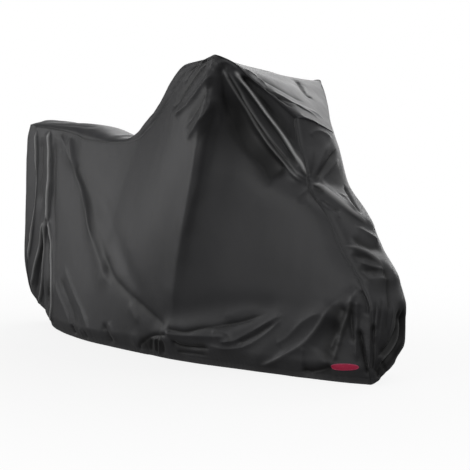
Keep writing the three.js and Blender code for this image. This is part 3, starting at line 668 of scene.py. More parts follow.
def lengths(vectors):
    """The length of each vector."""
    return np.linalg.norm(vectors, axis=-1)


def unit(vectors):
    """The same directions with a length of 1."""
    return vectors / np.maximum(lengths(vectors)[..., None], 1e-9)


def spaced(count, density=((0, 1), (1, 1))):
    """Places from 0 to 1 that lie closer together near both ends and where the density is higher."""
    fine = np.linspace(0, 1, SPACING_STEPS)
    near = np.exp(-fine / DENSE_REACH) + np.exp(-(1 - fine) / DENSE_REACH)
    weight = np.interp(fine, *zip(*density)) / (1 - DENSER_AT_ENDS * near)
    total = np.concatenate([[0], np.cumsum((weight[1:] + weight[:-1]) / 2)])
    return np.interp(np.linspace(0, total[-1], count + 1), total, fine)


def fold_height(folds, a, b):
    """The height of the main folds, which are soft ridges and troughs."""
    height = np.zeros_like(a)
    for a1, b1, a2, b2, bow, high1, high2, wide in folds:
        da, db = a2 - a1, b2 - b1
        length = math.hypot(da, db)
        along = ((a - a1) * da + (b - b1) * db) / length
        part = np.clip(along / length, 0, 1)
        beyond = along - part * length
        beside = ((a - a1) * db - (b - b1) * da) / length - bow * 4 * part * (1 - part)
        height += (high1 + (high2 - high1) * part) * np.exp(-(beside**2 + beyond**2) / wide**2)
    return height * FOLD_SHARE


def rounded_path(places, steps=6):
    """A smooth line through a crease's places."""
    points = np.array(places, float)
    points = np.vstack([2 * points[0] - points[1], points, 2 * points[-1] - points[-2]])
    t = np.linspace(0, 1, steps, endpoint=False)[:, None]
    path = []
    for p0, p1, p2, p3 in zip(points, points[1:], points[2:], points[3:]):
        cubic = (3 * p1 - p0 - 3 * p2 + p3) * t**3
        path.append(0.5 * (2 * p1 + (p2 - p0) * t + (2 * p0 - 5 * p1 + 4 * p2 - p3) * t**2 + cubic))
    path.append(points[-2:-1])
    return np.vstack(path)


def beside_path(places, a, b, reach):
    """Which points lie near a crease, how far from it, the way to it, on which side and how far along."""
    path = rounded_path(places)
    low, top = path.min(0) - reach, path.max(0) + reach
    near = (a > low[0]) & (a < top[0]) & (b > low[1]) & (b < top[1])
    pa, pb = a[near], b[near]
    steps = np.diff(path, axis=0)
    step_length = lengths(steps)
    done = np.concatenate([[0], np.cumsum(step_length)])
    best = np.full(len(pa), np.inf)
    way = np.zeros((len(pa), 2))
    side = np.zeros(len(pa))
    where = np.zeros(len(pa))
    for start, step, length, before in zip(path, steps, step_length, done):
        ra, rb = pa - start[0], pb - start[1]
        part = np.clip((ra * step[0] + rb * step[1]) / length**2, 0, 1)
        da, db = part * step[0] - ra, part * step[1] - rb
        away = np.hypot(da, db)
        closer = away < best
        best[closer] = away[closer]
        way[closer] = np.stack([da, db], -1)[closer]
        side[closer] = (step[0] * rb - step[1] * ra)[closer]
        where[closer] = (before + part * length)[closer]
    return near, best, way, side, where, done[-1]


def crease_height(creases, a, b):
    """The height of the creases, with the painted highlight on their sharp crests and the painted shade in
    their troughs.
    """
    height, painted_crest_highlight, painted_shade = (np.zeros_like(a) for _ in range(3))
    for number, (high, wide_left, wide_right, roundness, rise, fall, places) in enumerate(creases):
        reach = CREASE_REACH * max(wide_left, wide_right)
        near, away, _, side, where, whole = beside_path(places, a, b, reach)
        taper = smooth(where / rise) * smooth((whole - where) / fall)
        wide = np.where(side > 0, wide_left, wide_right) * (1 - NARROWER_AT_ENDS * (1 - taper))
        across = np.sqrt((away / wide) ** 2 + roundness**2) - roundness
        swells = (part * np.sin(where / length + step * number) for part, length, step in CREASE_SWELLS)
        height[near] += high * (1 + sum(swells)) * taper * np.exp(-across)
        narrow = min(wide_left, wide_right)
        # A sharp crest gets a painted highlight in the cloth's colour, and a trough gets painted shade.
        if high > 0:
            share = CREST_HIGHLIGHT_SHARE * max(high / narrow - BLUNT, 0)
            painted_crest_highlight[near] += share * taper * np.exp(-((away / (CREST_HIGHLIGHT_WIDE * narrow)) ** 2))
        else:
            painted_shade[near] += -high / PAINTED_SHADE_DEPTH * taper * np.exp(-across)
    return height, np.clip(painted_crest_highlight, 0, 1), np.clip(painted_shade, 0, 1)


def gathered(points, out, creases, axes):
    """A grid's points, moved along the cloth towards the crests, so that its cells are finest there."""
    a, b = points[..., axes[0]], points[..., axes[1]]
    move = np.zeros_like(points)
    for high, wide_left, wide_right, _, rise, fall, places in creases:
        if high < GATHER_FROM or min(wide_left, wide_right) > GATHER_WIDEST:
            continue
        near, away, way, _, where, whole = beside_path(places, a, b, 3 * GATHER_REACH)
        pull = GATHER_SHARE * np.exp(-((away / GATHER_REACH) ** 2))
        pull *= smooth(where / rise) * smooth((whole - where) / fall)
        for axis, part in zip(axes, way.T):
            move[..., axis][near] += part * pull
    return points + move - out * (move * out).sum(-1, keepdims=True)


def patchy(points, size, seed, upward):
    """A soft irregular height from -1 to 1 over the cloth, in patches of about one size."""
    offset = Vector([seed * step for step in SEED_STEP])
    flat = points.reshape(-1, 3) * (np.array((1, 1, upward)) / size)
    values = [noise.noise(Vector(point) + offset) for point in flat]
    return np.array(values).reshape(points.shape[:-1])


def unevenness(points, layers, seed):
    """The soft unevenness of a panel, in layers of coarse and fine patches."""
    height = 0
    for number, (high, size, upward) in enumerate(layers):
        height = height + high * patchy(points, size, seed + number, upward)
    return height


def wave(distance, seed, length):
    """An irregular ripple along a seam or hem, from -1 to 1."""
    (first, slow), (second, slower) = RIPPLE_DRIFT
    drift = first * np.sin(distance / (slow * length) + seed) + second * np.sin(distance / (slower * length))
    share, slow = RIPPLE_SWELL
    swell = 1 - share + share * np.sin(distance / (slow * length) + 2 * seed)
    return np.sin(2 * math.pi * (distance / length + drift)) * swell


def outward(points, away):
    """Directions square to a grid of points, on the side that away points to."""
    normal = unit(np.cross(np.gradient(points, axis=1), np.gradient(points, axis=0)))
    return -normal if (normal * away).sum() < 0 else normal


def travelled(points, axis):
    """How far along the cloth each point of a grid lies from the start of its row."""
    steps = lengths(np.diff(points, axis=axis))
    start = np.zeros_like(np.take(steps, [0], axis=axis))
    return np.concatenate([start, np.cumsum(steps, axis=axis)], axis=axis)


SIDES = {
    "right": {
        "out": -1,
        "top": curve(RIGHT_TOP),
        "hem": curve(RIGHT_HEM),
        "rear": curve(RIGHT_REAR),
        "front": curve(RIGHT_FRONT),
        "bulge": curve(RIGHT_BULGE),
        "folds": RIGHT_FOLDS,
        "creases": RIGHT_CREASES,
        "seed": 11,
        "flat_area": 2.4,
    },
    "left": {
        "out": 1,
        "top": curve(LEFT_TOP),
        "hem": curve(LEFT_HEM),
        "rear": curve(LEFT_REAR),
        "front": curve(LEFT_FRONT),
        "bulge": curve(LEFT_BULGE),
        "folds": LEFT_FOLDS,
        "creases": LEFT_CREASES,
        "seed": 21,
        "flat_area": 2.3,
    },
}
CENTRE_SEED = 31


def hanging_cloth(side, u, v):
    """A side panel before its folds, by part of the way along and down it."""
    top, hem = side["top"](u[0])[None], side["hem"](u[0])[None]
    points = top + (hem - top) * v[..., None]
    for edge, end, weight in ((side["rear"], 0, (1 - u) ** 4), (side["front"], 1, u**4)):
        start, foot = side["top"](float(end)), side["hem"](float(end))
        down = v[:, :1]
        chord = start + (foot - start) * down
        points = points + (edge(down[:, 0]) - chord)[:, None] * weight[..., None]
    tuck = HEM_TUCK * smooth((v - HEM_TUCK_FROM) / (1 - HEM_TUCK_FROM))
    points[..., 1] += side["out"] * (side["bulge"](u[0])[None, :, 0] * np.sin(math.pi * v) - tuck)
    return points


def seam_distance(points):
    """How far each point of a side panel's grid lies from its top, rear and front seams."""
    top = lengths(points - points[:1])
    rear = lengths(points - points[:, :1])
    front = lengths(points - points[:, -1:])
    return top, rear, front


def folded_side(side):
    """A side panel with its main folds."""
    u, v = np.meshgrid(spaced(ALONG, ALONG_DENSITY), spaced(DOWN, DOWN_DENSITY))
    points = hanging_cloth(side, u, v)
    out = outward(points, np.array([0, side["out"], 0]))
    inner = (slice(1, -1), slice(1, -1))
    points[inner] = gathered(points[inner], out[inner], side["creases"], (0, 2))
    top, rear, front = seam_distance(points)
    fade = smooth(top / FOLD_FADE) * smooth(rear / FOLD_FADE) * smooth(front / FOLD_FADE)
    points = points + out * (fold_height(side["folds"], points[..., 0], points[..., 2]) * fade)[..., None]
    points[..., 2] = np.maximum(points[..., 2], 0)
    return points


# The centre panel's three stretches: the middle line, the folds, the creases, the way out, and the two axes
# by which the folds and creases are placed.
STRETCHES = {
    "rear": (curve(CENTRE_REAR), REAR_FOLDS, REAR_CREASES, np.array([-1.0, 0, 0]), (1, 2)),
    "top": (curve(CENTRE_TOP), TOP_FOLDS, TOP_CREASES, np.array([0, 0, 1.0]), (0, 1)),
    "front": (curve(CENTRE_FRONT), FRONT_FOLDS, FRONT_CREASES, np.array([1.0, 0, 0]), (1, 2)),
}


def seam_of(points):
    """The seam round a side panel, from the foot of its rear over its top to the foot of its front."""
    return np.concatenate([points[::-1, 0], points[0, 1:], points[1:, -1]])


def crown_of(points):
    """For the centre panel's grid, the upward direction at the middle of its top."""
    crown = np.zeros_like(points)
    crown[len(points) // 2, points.shape[1] // 2, 2] = 1
    return crown


def centre_stations():
    """For each station along the centre panel: its stretch, and how far along that stretch it lies."""
    down, along = spaced(DOWN, DOWN_DENSITY), spaced(ALONG, ALONG_DENSITY)
    stations = [("rear", place, place) for place in down[:0:-1]]
    stations += [("top", place, min(place, 1 - place)) for place in along]
    stations += [("front", place, place) for place in down[1:]]
    return stations


def folded_centre(right, left):
    """The centre panel between its two seams, with its main folds."""
    angle = math.pi * spaced(ACROSS)
    stations = centre_stations()
    rows = []
    for (name, place, inside), start, end in zip(stations, right, left):
        middle, folds, _, out, axes = STRETCHES[name]
        x, z, square = middle(place)
        cosine, sine = np.abs(np.cos(angle)), np.abs(np.sin(angle))
        reach = (cosine**square + sine**square) ** (-1 / square)
        across = (0.5 - 0.5 * np.cos(angle) * reach)[:, None]
        crown = (sine * reach)[:, None]
        chord = (start + end) / 2
        rise = np.array([x, chord[1], z]) - chord
        row = start + (end - start) * across + rise * crown
        seams = np.minimum(lengths(row - start), lengths(row - end))
        fade = smooth(seams / FOLD_FADE) * smooth(inside / STRETCH_FADE)
        row += out * (fold_height(folds, row[:, axes[0]], row[:, axes[1]]) * fade)[:, None]
        rows.append(row)
    points = np.array(rows)
    out = outward(points, crown_of(points))
    for name, (_, _, creases, _, axes) in STRETCHES.items():
        at = np.flatnonzero([station == name for station, _, _ in stations])[1:-1]
        inner = (slice(at[0], at[-1] + 1), slice(1, -1))
        points[inner] = gathered(points[inner], out[inner], creases, axes)
    points[..., 2] = np.maximum(points[..., 2], 0)
    return points


def fit_to_frame(grids):
    """Moves and scales the drawn panels onto the solids' box."""
    everything = np.concatenate([grid.reshape(-1, 3) for grid in grids])
    low, high = everything.min(0), everything.max(0)
    target_low, target_high = np.array(CAD_BOX[0]) / METRE, np.array(CAD_BOX[1]) / METRE
    scale = (target_high - target_low) / (high - low)
    return [(grid - low) * scale + target_low for grid in grids]


def seam_detail(distance, run, seed, welt):
    """The welt, the stitched groove and the puckers of one seam, by the distance to it and along it."""
    ridge = welt * np.exp(-((distance / WELT_WIDE) ** 2))
    depth, middle, wide = GROOVE
    groove = depth * np.exp(-(((distance - middle) / wide) ** 2))
    high, length, reach = PUCKER
    pucker = high * wave(run, seed, length) * np.exp(-distance / reach) * smooth(distance / PUCKER_FROM)
    return ridge + groove + pucker


def hem_detail(height, run, seed, hem_height):
    """The stitched groove above the hem and the gathers of its elastic, by the height over the hem's edge."""
    depth, wide = HEM_GROOVE
    groove = depth * np.exp(-(((height - hem_height) / wide) ** 2))
    high, length, reach = ELASTIC
    return groove + high * wave(run, seed, length) * np.exp(-height / reach)


def creased_side(side, points, sizes):
    """The fine creases, seams and hem on a side panel that has its main folds."""
    seed = side["seed"]
    out = outward(points, np.array([0, side["out"], 0]))
    top, rear, front = seam_distance(points)
    nearest = np.minimum(np.minimum(top, rear), front)
    hem = lengths(points - points[-1:])
    along, down = travelled(points, 1), travelled(points, 0)
    height, painted_crest_highlight, painted_shade = crease_height(side["creases"], points[..., 0], points[..., 2])
    height += unevenness(points, SIDE_UNEVEN, seed)
    height *= sizes.crease_depth * smooth(nearest / SEAM_FADE)
    welt = sizes.welt_height / METRE
    height += seam_detail(top, along, seed, welt)
    height += seam_detail(rear, down, seed + 2, welt) * smooth(top / CORNER_FADE)
    height += seam_detail(front, down, seed + 3, welt) * smooth(top / CORNER_FADE)
    height += hem_detail(hem, along, seed + 4, sizes.hem_height / METRE) * smooth(nearest / CORNER_FADE)
    points = points + out * height[..., None]
    points[..., 2] = np.maximum(points[..., 2], 0)
    painted_shade = np.maximum(painted_shade, seam_shade(nearest))
    crumple = near_seams(nearest, hem)
    return {"points": points, "out": out, "painted_crest_highlight": painted_crest_highlight, "painted_shade": painted_shade, "crumple": crumple}


def seam_shade(nearest):
    """How dark the painted shade on the line of a seam is, by the distance to it."""
    return SEAM_SHADE * np.exp(-((nearest / SEAM_SHADE_WIDE) ** 2))


def near_seams(nearest, hem):
    """How crumpled the cloth is: most beside the seams and the hem, least in the middle of a panel."""
    close = np.maximum(np.exp(-nearest / CRUMPLED_BY_SEAM), np.exp(-hem / CRUMPLED_BY_HEM))
    return CRUMPLED_LEAST + (1 - CRUMPLED_LEAST) * close


def creased_centre(points, sizes):
    """The fine creases, seams and hems on the centre panel that has its main folds."""
    names = [name for name, _, _ in centre_stations()]
    out = outward(points, crown_of(points))
    height, painted_crest_highlight, painted_shade = (np.zeros(points.shape[:2]) for _ in range(3))
    for name, (_, _, creases, _, axes) in STRETCHES.items():
        rows = np.array([station == name for station in names])
        made = crease_height(creases, points[rows][..., axes[0]], points[rows][..., axes[1]])
        height[rows], painted_crest_highlight[rows], painted_shade[rows] = made
    height += unevenness(points, CENTRE_UNEVEN, CENTRE_SEED)
    right, left = lengths(points - points[:, :1]), lengths(points - points[:, -1:])
    nearest = np.minimum(right, left)
    height *= sizes.crease_depth * smooth(nearest / SEAM_FADE)
    run, across = travelled(points, 0), travelled(points, 1)
    welt = sizes.welt_height / METRE
    height += seam_detail(right, run, 5, welt) + seam_detail(left, run, 6, welt)
    hems = [lengths(points - points[[end]]) for end in (0, -1)]
    for number, hem in enumerate(hems):
        detail = hem_detail(hem, across, 7 + number, sizes.hem_height / METRE)
        height += detail * smooth(nearest / CORNER_FADE)
    points = points + out * height[..., None]
    points[..., 2] = np.maximum(points[..., 2], 0)
    painted_shade = np.maximum(painted_shade, seam_shade(nearest))
    crumple = near_seams(nearest, np.minimum(*hems))
    return {"points": points, "out": out, "painted_crest_highlight": painted_crest_highlight, "painted_shade": painted_shade, "crumple": crumple}


def turn_hem(grid, end, hem_height):
    """Rows that turn the cloth in at one end of its grid and run back up inside it."""
    beside = 1 if end == 0 else -2
    edge, out = grid["points"][end], grid["out"][end]
    up = unit(grid["points"][beside] - edge)
    added = {name: [] for name in grid}
    for row in range(1, HEM_TURN_ROWS + 1):
        part = row / HEM_TURN_ROWS
        added["points"].append(edge + up * (hem_height * part) - out * (HEM_TURN * smooth(3 * part)))
        added["out"].append(-out)
        for label in SURFACE:
            added[label].append(grid[label][end])
    for name, rows in added.items():
        rows = np.array(rows[::-1] if end == 0 else rows)
        grid[name] = np.concatenate([rows, grid[name]] if end == 0 else [grid[name], rows])


def draw_cover():
    """The three panels with their main folds, as grids of points in millimetres."""
    right, left = folded_side(SIDES["right"]), folded_side(SIDES["left"])
    centre = folded_centre(seam_of(right), seam_of(left))
    return dict(zip(("right", "left", "centre"), fit_to_frame([right, left, centre])))


# What each point of the cloth carries for its material, besides its place.
SURFACE = ("painted_crest_highlight", "painted_shade", "crumple")

FOLDED = draw_cover()
CREASED = {}


def creased(name):
    """One panel's finished grid, before its hem is turned in."""
    if name not in CREASED:
        sizes = bpy.context.scene.cover_sizes
        if name == "centre":
            CREASED[name] = creased_centre(FOLDED[name], sizes)
        else:
            CREASED[name] = creased_side(SIDES[name], FOLDED[name], sizes)
    return CREASED[name]


def cloth_mesh(name, grid):
    """A sheet of cloth whose grid takes the given points, with a UV map in metres along the cloth."""
    points = grid["points"]
    rows, columns = points.shape[0] - 1, points.shape[1] - 1
    sheet = bmesh.new()
    bmesh.ops.create_grid(sheet, x_segments=columns, y_segments=rows, size=0.5)
    mesh = bpy.data.meshes.new(name)
    sheet.to_mesh(mesh)
    sheet.free()
    mesh.vertices.foreach_set("co", (points * METRE).reshape(-1).astype(np.float32))
    for label in SURFACE:
        mesh.attributes.new(label, "FLOAT", "POINT").data.foreach_set("value", grid[label].reshape(-1))
    corners = np.zeros(len(mesh.loops), np.int32)
    mesh.loops.foreach_get("vertex_index", corners)
    flat = np.stack([travelled(points, 1), travelled(points, 0)], -1).reshape(-1, 2) * METRE
    mesh.uv_layers.new(name="Cloth").data.foreach_set("uv", flat[corners].reshape(-1))
    mesh.update()
    normals = np.zeros(len(mesh.vertices) * 3, np.float32)
    mesh.vertex_normals.foreach_get("vector", normals)
    if (normals.reshape(-1, 3) * grid["out"].reshape(-1, 3)).sum() < 0:
        mesh.flip_normals()
    mesh.shade_smooth()
    return mesh


def add_piece(name, mesh, materials, node=None):
    """Links a finished mesh as a piece of the cover."""
    piece = bpy.data.objects.new(name, mesh)
    bpy.context.scene.collection.objects.link(piece)
    for material in materials:
        mesh.materials.append(material)
    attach(piece, "root")
    if node:
        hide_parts(node)
    return piece


def feed(tree, socket, value):
    """Sets an input to a value, or links it where the value is another node's output."""
    if isinstance(value, bpy.types.NodeSocket):
        tree.links.new(value, socket)
    else:
        socket.default_value = value


def add_node(tree, kind, inputs=(), **settings):
    """Adds a node with its settings and its inputs."""
    node = tree.nodes.new(kind)
    for name, value in settings.items():
        setattr(node, name, value)
    for name, value in dict(inputs).items():
        feed(tree, node.inputs[name], value)
    return node


def calculate(tree, operation, first, second=0.0, third=0.0):
    """The result of one operation on up to three inputs, each a value or another node's output."""
    return add_node(tree, "ShaderNodeMath", {0: first, 1: second, 2: third}, operation=operation).outputs[0]


def new_group(name, given, result):
    """An empty shader node group with named inputs and their defaults, and named outputs."""
    tree = bpy.data.node_groups.new(name, "ShaderNodeTree")
    for label, kind, value in given:
        socket = tree.interface.new_socket(label, in_out="INPUT", socket_type=kind)
        if value is not None:
            socket.default_value = value
    for label, kind in result:
        tree.interface.new_socket(label, in_out="OUTPUT", socket_type=kind)
    return tree, tree.nodes.new("NodeGroupInput").outputs, tree.nodes.new("NodeGroupOutput").inputs


# The cloth's darker and lighter tone as shares of its colour, and its tone under the darkest painted shade.
CLOTH_TONES = (0.8, 1.2)
PAINTED_SHADE_TONE = 0.15

# How much rougher the lighter tone is than the darker one.
ROUGH_SPREAD = 0.12

# Dust lies this high above the floor at most, in metres, in this colour.
DUST_UP_TO = 0.1
DUST_COLOUR = (0.16, 0.15, 0.14, 1)

# Relief of the weave, of the dents and of threads, in metres.
WEAVE_RELIEF = 0.00008
CRUMPLE_RELIEF = 0.0022
THREAD_RELIEF = 0.0003


def weave_group():
    """A plain weave: threads that pass over and under each other, some thicker than others."""
    if "plain weave" in bpy.data.node_groups:
        return bpy.data.node_groups["plain weave"]
    tree, given, result = new_group(
        "plain weave",
        (("Vector", "NodeSocketVector", None), ("Pitch", "NodeSocketFloat", 0.0008)),
        (("Height", "NodeSocketFloat"),),
    )
    turns = calculate(tree, "DIVIDE", math.pi, given["Pitch"])
    spread = add_node(tree, "ShaderNodeVectorMath", {0: given["Vector"], "Scale": turns}, operation="SCALE")
    split = add_node(tree, "ShaderNodeSeparateXYZ", {0: spread.outputs[0]})
    warp = calculate(tree, "SINE", split.outputs["X"])
    weft = calculate(tree, "SINE", split.outputs["Y"])
    over = calculate(tree, "MULTIPLY", warp, weft)
    slub = add_node(tree, "ShaderNodeTexNoise", {"Vector": spread.outputs[0], "Scale": 0.09, "Detail": 2.0})
    raised = calculate(tree, "MULTIPLY_ADD", over, 0.5, 0.5)
    feed(tree, result["Height"], calculate(tree, "ADD", raised, slub.outputs["Fac"]))
    return tree


def crumple_group():
    """Small soft dents, as in cloth that has been packed away."""
    if "crumple" in bpy.data.node_groups:
        return bpy.data.node_groups["crumple"]
    tree, given, result = new_group(
        "crumple",
        (("Vector", "NodeSocketVector", None), ("Size", "NodeSocketFloat", 0.05)),
        (("Height", "NodeSocketFloat"),),
    )
    scale = calculate(tree, "DIVIDE", 1.0, given["Size"])
    looks = {"Vector": given["Vector"], "Scale": scale, "Detail": 3.0, "Distortion": 0.4}
    dents = add_node(tree, "ShaderNodeTexNoise", looks)
    feed(tree, result["Height"], dents.outputs["Fac"])
    return tree


def use_group(tree, group, inputs):
    """The outputs of a node group used in a material."""
    return add_node(tree, "ShaderNodeGroup", inputs, node_tree=group).outputs


def attribute(tree, name):
    """What the cloth's points carry under a name."""
    return add_node(tree, "ShaderNodeAttribute", attribute_name=name).outputs["Fac"]


def blend(tree, factor, first, second):
    """A colour between two colours, each a value or another node's output."""
    colours = {0: factor, 6: first, 7: second}
    return add_node(tree, "ShaderNodeMix", colours, data_type="RGBA", clamp_factor=True).outputs[2]


def add_bump(tree, height, strength, distance, normal=None):
    """The normal of a relief, over the normal of a finer one where there is one."""
    inputs = {"Height": height, "Strength": strength, "Distance": distance}
    if normal is not None:
        inputs["Normal"] = normal
    return add_node(tree, "ShaderNodeBump", inputs).outputs["Normal"]


def tint(colour, share):
    """A colour made darker or lighter by a share, for a colour socket."""
    return (*(share * channel for channel in colour), 1)


def new_material(name):
    """A material with its node tree and the inputs of its shader."""
    material = bpy.data.materials.new(name)
    material.use_nodes = True
    tree = material.node_tree
    return material, tree, tree.nodes["Principled BSDF"].inputs


def black_cloth(look):
    """The coated cloth: fine weave, faint dents, a painted highlight on sharp crests, painted shade in
    troughs and along seams, dusty low down.
    """
    material, tree, shader = new_material("black coated cloth")
    place = add_node(tree, "ShaderNodeTexCoord").outputs["Object"]
    along = add_node(tree, "ShaderNodeUVMap", uv_map="Cloth").outputs["UV"]
    weave = use_group(tree, weave_group(), {"Vector": along, "Pitch": look.thread_pitch})
    crumple = use_group(tree, crumple_group(), {"Vector": place, "Size": 0.055})
    tone = add_node(tree, "ShaderNodeTexNoise", {"Vector": place, "Scale": 3.0, "Detail": 3.0}).outputs["Fac"]
    colour = blend(tree, tone, tint(look.colour, CLOTH_TONES[0]), tint(look.colour, CLOTH_TONES[1]))
    # Painted shade: the troughs of the creases and the lines of the seams are darkened towards a deep tone.
    colour = blend(tree, attribute(tree, "painted_shade"), colour, tint(look.colour, PAINTED_SHADE_TONE))
    # Painted highlight: sharp crests are lightened towards a pale colour, standing for light caught on them.
    colour = blend(tree, attribute(tree, "painted_crest_highlight"), colour, tint(look.crest_highlight_colour, 1))
    height = add_node(tree, "ShaderNodeSeparateXYZ", {0: place}).outputs["Z"]
    settled = {"Value": height, "From Max": DUST_UP_TO, "To Min": look.dust, "To Max": 0.0}
    low = add_node(tree, "ShaderNodeMapRange", settled).outputs["Result"]
    speckled = {"Vector": place, "Scale": 40.0, "Detail": 6.0}
    dust = calculate(tree, "MULTIPLY", low, add_node(tree, "ShaderNodeTexNoise", speckled).outputs["Fac"])
    feed(tree, shader["Base Color"], blend(tree, dust, colour, DUST_COLOUR))
    rough = calculate(tree, "MULTIPLY_ADD", tone, ROUGH_SPREAD, look.roughness - ROUGH_SPREAD / 2)
    feed(tree, shader["Roughness"], calculate(tree, "ADD", rough, dust))
    woven = add_bump(tree, weave["Height"], 0.5, WEAVE_RELIEF)
    dented = calculate(tree, "MULTIPLY", crumple["Height"], attribute(tree, "crumple"))
    feed(tree, shader["Normal"], add_bump(tree, dented, 1.0, CRUMPLE_RELIEF, woven))
    shader["Specular IOR Level"].default_value = 0.5
    shader["Sheen Weight"].default_value = 0.12
    shader["Sheen Roughness"].default_value = 0.5
    return material


def thread(name, colour):
    """Twisted sewing thread."""
    material, tree, shader = new_material(name)
    place = add_node(tree, "ShaderNodeTexCoord").outputs["Object"]
    twisted = {"Vector": place, "Scale": 900.0, "Detail": 1.0}
    twist = add_node(tree, "ShaderNodeTexNoise", twisted).outputs["Fac"]
    feed(tree, shader["Base Color"], blend(tree, twist, tint(colour, 0.6), tint(colour, 1.3)))
    feed(tree, shader["Normal"], add_bump(tree, twist, 0.5, THREAD_RELIEF))
    shader["Roughness"].default_value = 0.55
    return material


def patch_weave(colour):
    """The patch's field: a coarser weave with uneven threads."""
    material, tree, shader = new_material("patch weave")
    along = add_node(tree, "ShaderNodeUVMap", uv_map="Patch").outputs["UV"]
    weave = use_group(tree, weave_group(), {"Vector": along, "Pitch": 0.0011})
    shade = calculate(tree, "MULTIPLY", weave["Height"], 0.6)
    feed(tree, shader["Base Color"], blend(tree, shade, tint(colour, 0.55), tint(colour, 1.15)))
    feed(tree, shader["Normal"], add_bump(tree, weave["Height"], 0.8, THREAD_RELIEF))
    shader["Roughness"].default_value = 0.65
    return material


def patch_border(colour):
    """The patch's border: close satin stitches laid across its edge."""
    material, tree, shader = new_material("patch border")
    along = add_node(tree, "ShaderNodeUVMap", uv_map="Patch").outputs["UV"]
    threads = add_node(tree, "ShaderNodeTexWave", {"Vector": along, "Scale": 520.0, "Distortion": 0.6})
    shade = threads.outputs["Fac"]
    feed(tree, shader["Base Color"], blend(tree, shade, tint(colour, 0.6), tint(colour, 1.2)))
    feed(tree, shader["Normal"], add_bump(tree, shade, 0.6, THREAD_RELIEF))
    shader["Roughness"].default_value = 0.45
    return material


def line_at(grid, distance, wanted, axis):
    """A line over the cloth at one distance from a seam or the hem, and the cloth's outward way along it."""
    points, out = grid["points"], grid["out"]
    if axis == 1:
        points, out, distance = points.swapaxes(0, 1), out.swapaxes(0, 1), distance.T
    beyond = np.maximum(np.argmax(distance >= wanted, axis=0), 1)
    columns = np.arange(points.shape[1])
    near, far = distance[beyond - 1, columns], distance[beyond, columns]
    part = np.clip((wanted - near) / np.maximum(far - near, 1e-6), 0, 1)[:, None]
    line = points[beyond - 1, columns] * (1 - part) + points[beyond, columns] * part
    return evened(line), unit(evened(out[beyond, columns]))


def evened(line, passes=6):
    """A line without its small zigzags, which keeps its ends."""
    line = line.copy()
    for _ in range(passes):
        line[1:-1] = (line[:-2] + 2 * line[1:-1] + line[2:]) / 4
    return line


def stitches_on(line, out, sizes, start, stop):
    """Places, directions and outward directions of the stitches along a line, in metres."""
    run = np.concatenate([[0], np.cumsum(lengths(np.diff(line, axis=0)))])
    at = np.arange(start, run[-1] - stop, sizes.stitch_pitch / METRE)

    def found(places, values):
        """Values on the line, by the way along it."""
        return np.stack([np.interp(places, run, axis) for axis in values.T], -1)

    place, up = found(at, line), found(at, out)
    return (place + up * STITCH_LIFT) * METRE, found(at + 1, line) - place, up


def sewing_lines(name, sizes):
    """The stitched lines of one panel: beside each of its seams, and over its hem."""
    grid = creased(name)
    points = grid["points"]
    beside, hem_height = GROOVE[1], sizes.hem_height / METRE
    if name == "centre":
        for end, turn in ((0, 1), (-1, -1)):
            hem = lengths(points - points[[end]])
            turned = {key: value[::turn] for key, value in grid.items()}
            yield *line_at(turned, hem[::turn], hem_height, 0), beside, beside
            seam = lengths(points - points[:, [end]])
            turned = {key: value[:, ::turn] for key, value in grid.items()}
            yield *line_at(turned, seam[:, ::turn], beside, 1), beside, beside
        return
    top, rear, front = seam_distance(points)
    hem = lengths(points - points[-1:])
    backwards = {key: value[:, ::-1] for key, value in grid.items()}
    upwards = {key: value[::-1] for key, value in grid.items()}
    yield *line_at(grid, top, beside, 0), beside, beside
    yield *line_at(grid, rear, beside, 1), beside, STITCH_STOP
    yield *line_at(backwards, front[:, ::-1], beside, 1), beside, STITCH_STOP
    yield *line_at(upwards, hem[::-1], hem_height, 0), beside, beside


def stitch_nodes(sizes):
    """Geometry nodes that lay one small thread on each stitch's place."""
    tree = bpy.data.node_groups.new("stitches", "GeometryNodeTree")
    tree.interface.new_socket("Geometry", in_out="INPUT", socket_type="NodeSocketGeometry")
    tree.interface.new_socket("Geometry", in_out="OUTPUT", socket_type="NodeSocketGeometry")
    given = tree.nodes.new("NodeGroupInput").outputs[0]
    ball = {"Segments": 5, "Rings": 4, "Radius": 0.5}
    shape = add_node(tree, "GeometryNodeMeshUVSphere", ball).outputs["Mesh"]
    directions = []
    for label in ("along", "out"):
        found = add_node(tree, "GeometryNodeInputNamedAttribute", {"Name": label}, data_type="FLOAT_VECTOR")
        directions.append(found.outputs["Attribute"])
    aligned = add_node(tree, "FunctionNodeAlignRotationToVector", {"Vector": directions[0]}, axis="X")
    upright = {"Rotation": aligned.outputs[0], "Vector": directions[1]}
    turn = add_node(tree, "FunctionNodeAlignRotationToVector", upright, axis="Z", pivot_axis="X")
    size = (sizes.stitch_length, sizes.thread_width, sizes.thread_width * THREAD_FLAT)
    laid = {"Points": given, "Instance": shape, "Rotation": turn.outputs[0], "Scale": size}
    placed = add_node(tree, "GeometryNodeInstanceOnPoints", laid)
    real = add_node(tree, "GeometryNodeRealizeInstances", {"Geometry": placed.outputs[0]})
    tree.links.new(real.outputs[0], tree.nodes.new("NodeGroupOutput").inputs[0])
    return tree


def stitch_mesh(name, sizes):
    """All the stitches of one panel as one mesh."""
    lines = sewing_lines(name, sizes)
    rows = [stitches_on(line, out, sizes, start, stop) for line, out, start, stop in lines]
    places, along, out = (np.concatenate(part) for part in zip(*rows))
    mesh = bpy.data.meshes.new(f"{name} stitches")
    mesh.vertices.add(len(places))
    mesh.vertices.foreach_set("co", places.reshape(-1))
    for label, values in (("along", along), ("out", out)):
        mesh.attributes.new(label, "FLOAT_VECTOR", "POINT").data.foreach_set("vector", values.reshape(-1))
    holder = bpy.data.objects.new("stitch places", mesh)
    bpy.context.scene.collection.objects.link(holder)
    holder.modifiers.new("stitches", "NODES").node_group = stitch_nodes(sizes)
    graph = bpy.context.evaluated_depsgraph_get()
    sewn = bpy.data.meshes.new_from_object(holder.evaluated_get(graph))
    bpy.data.objects.remove(holder)
    sewn.materials.clear()
    sewn.shade_smooth()
    return sewn


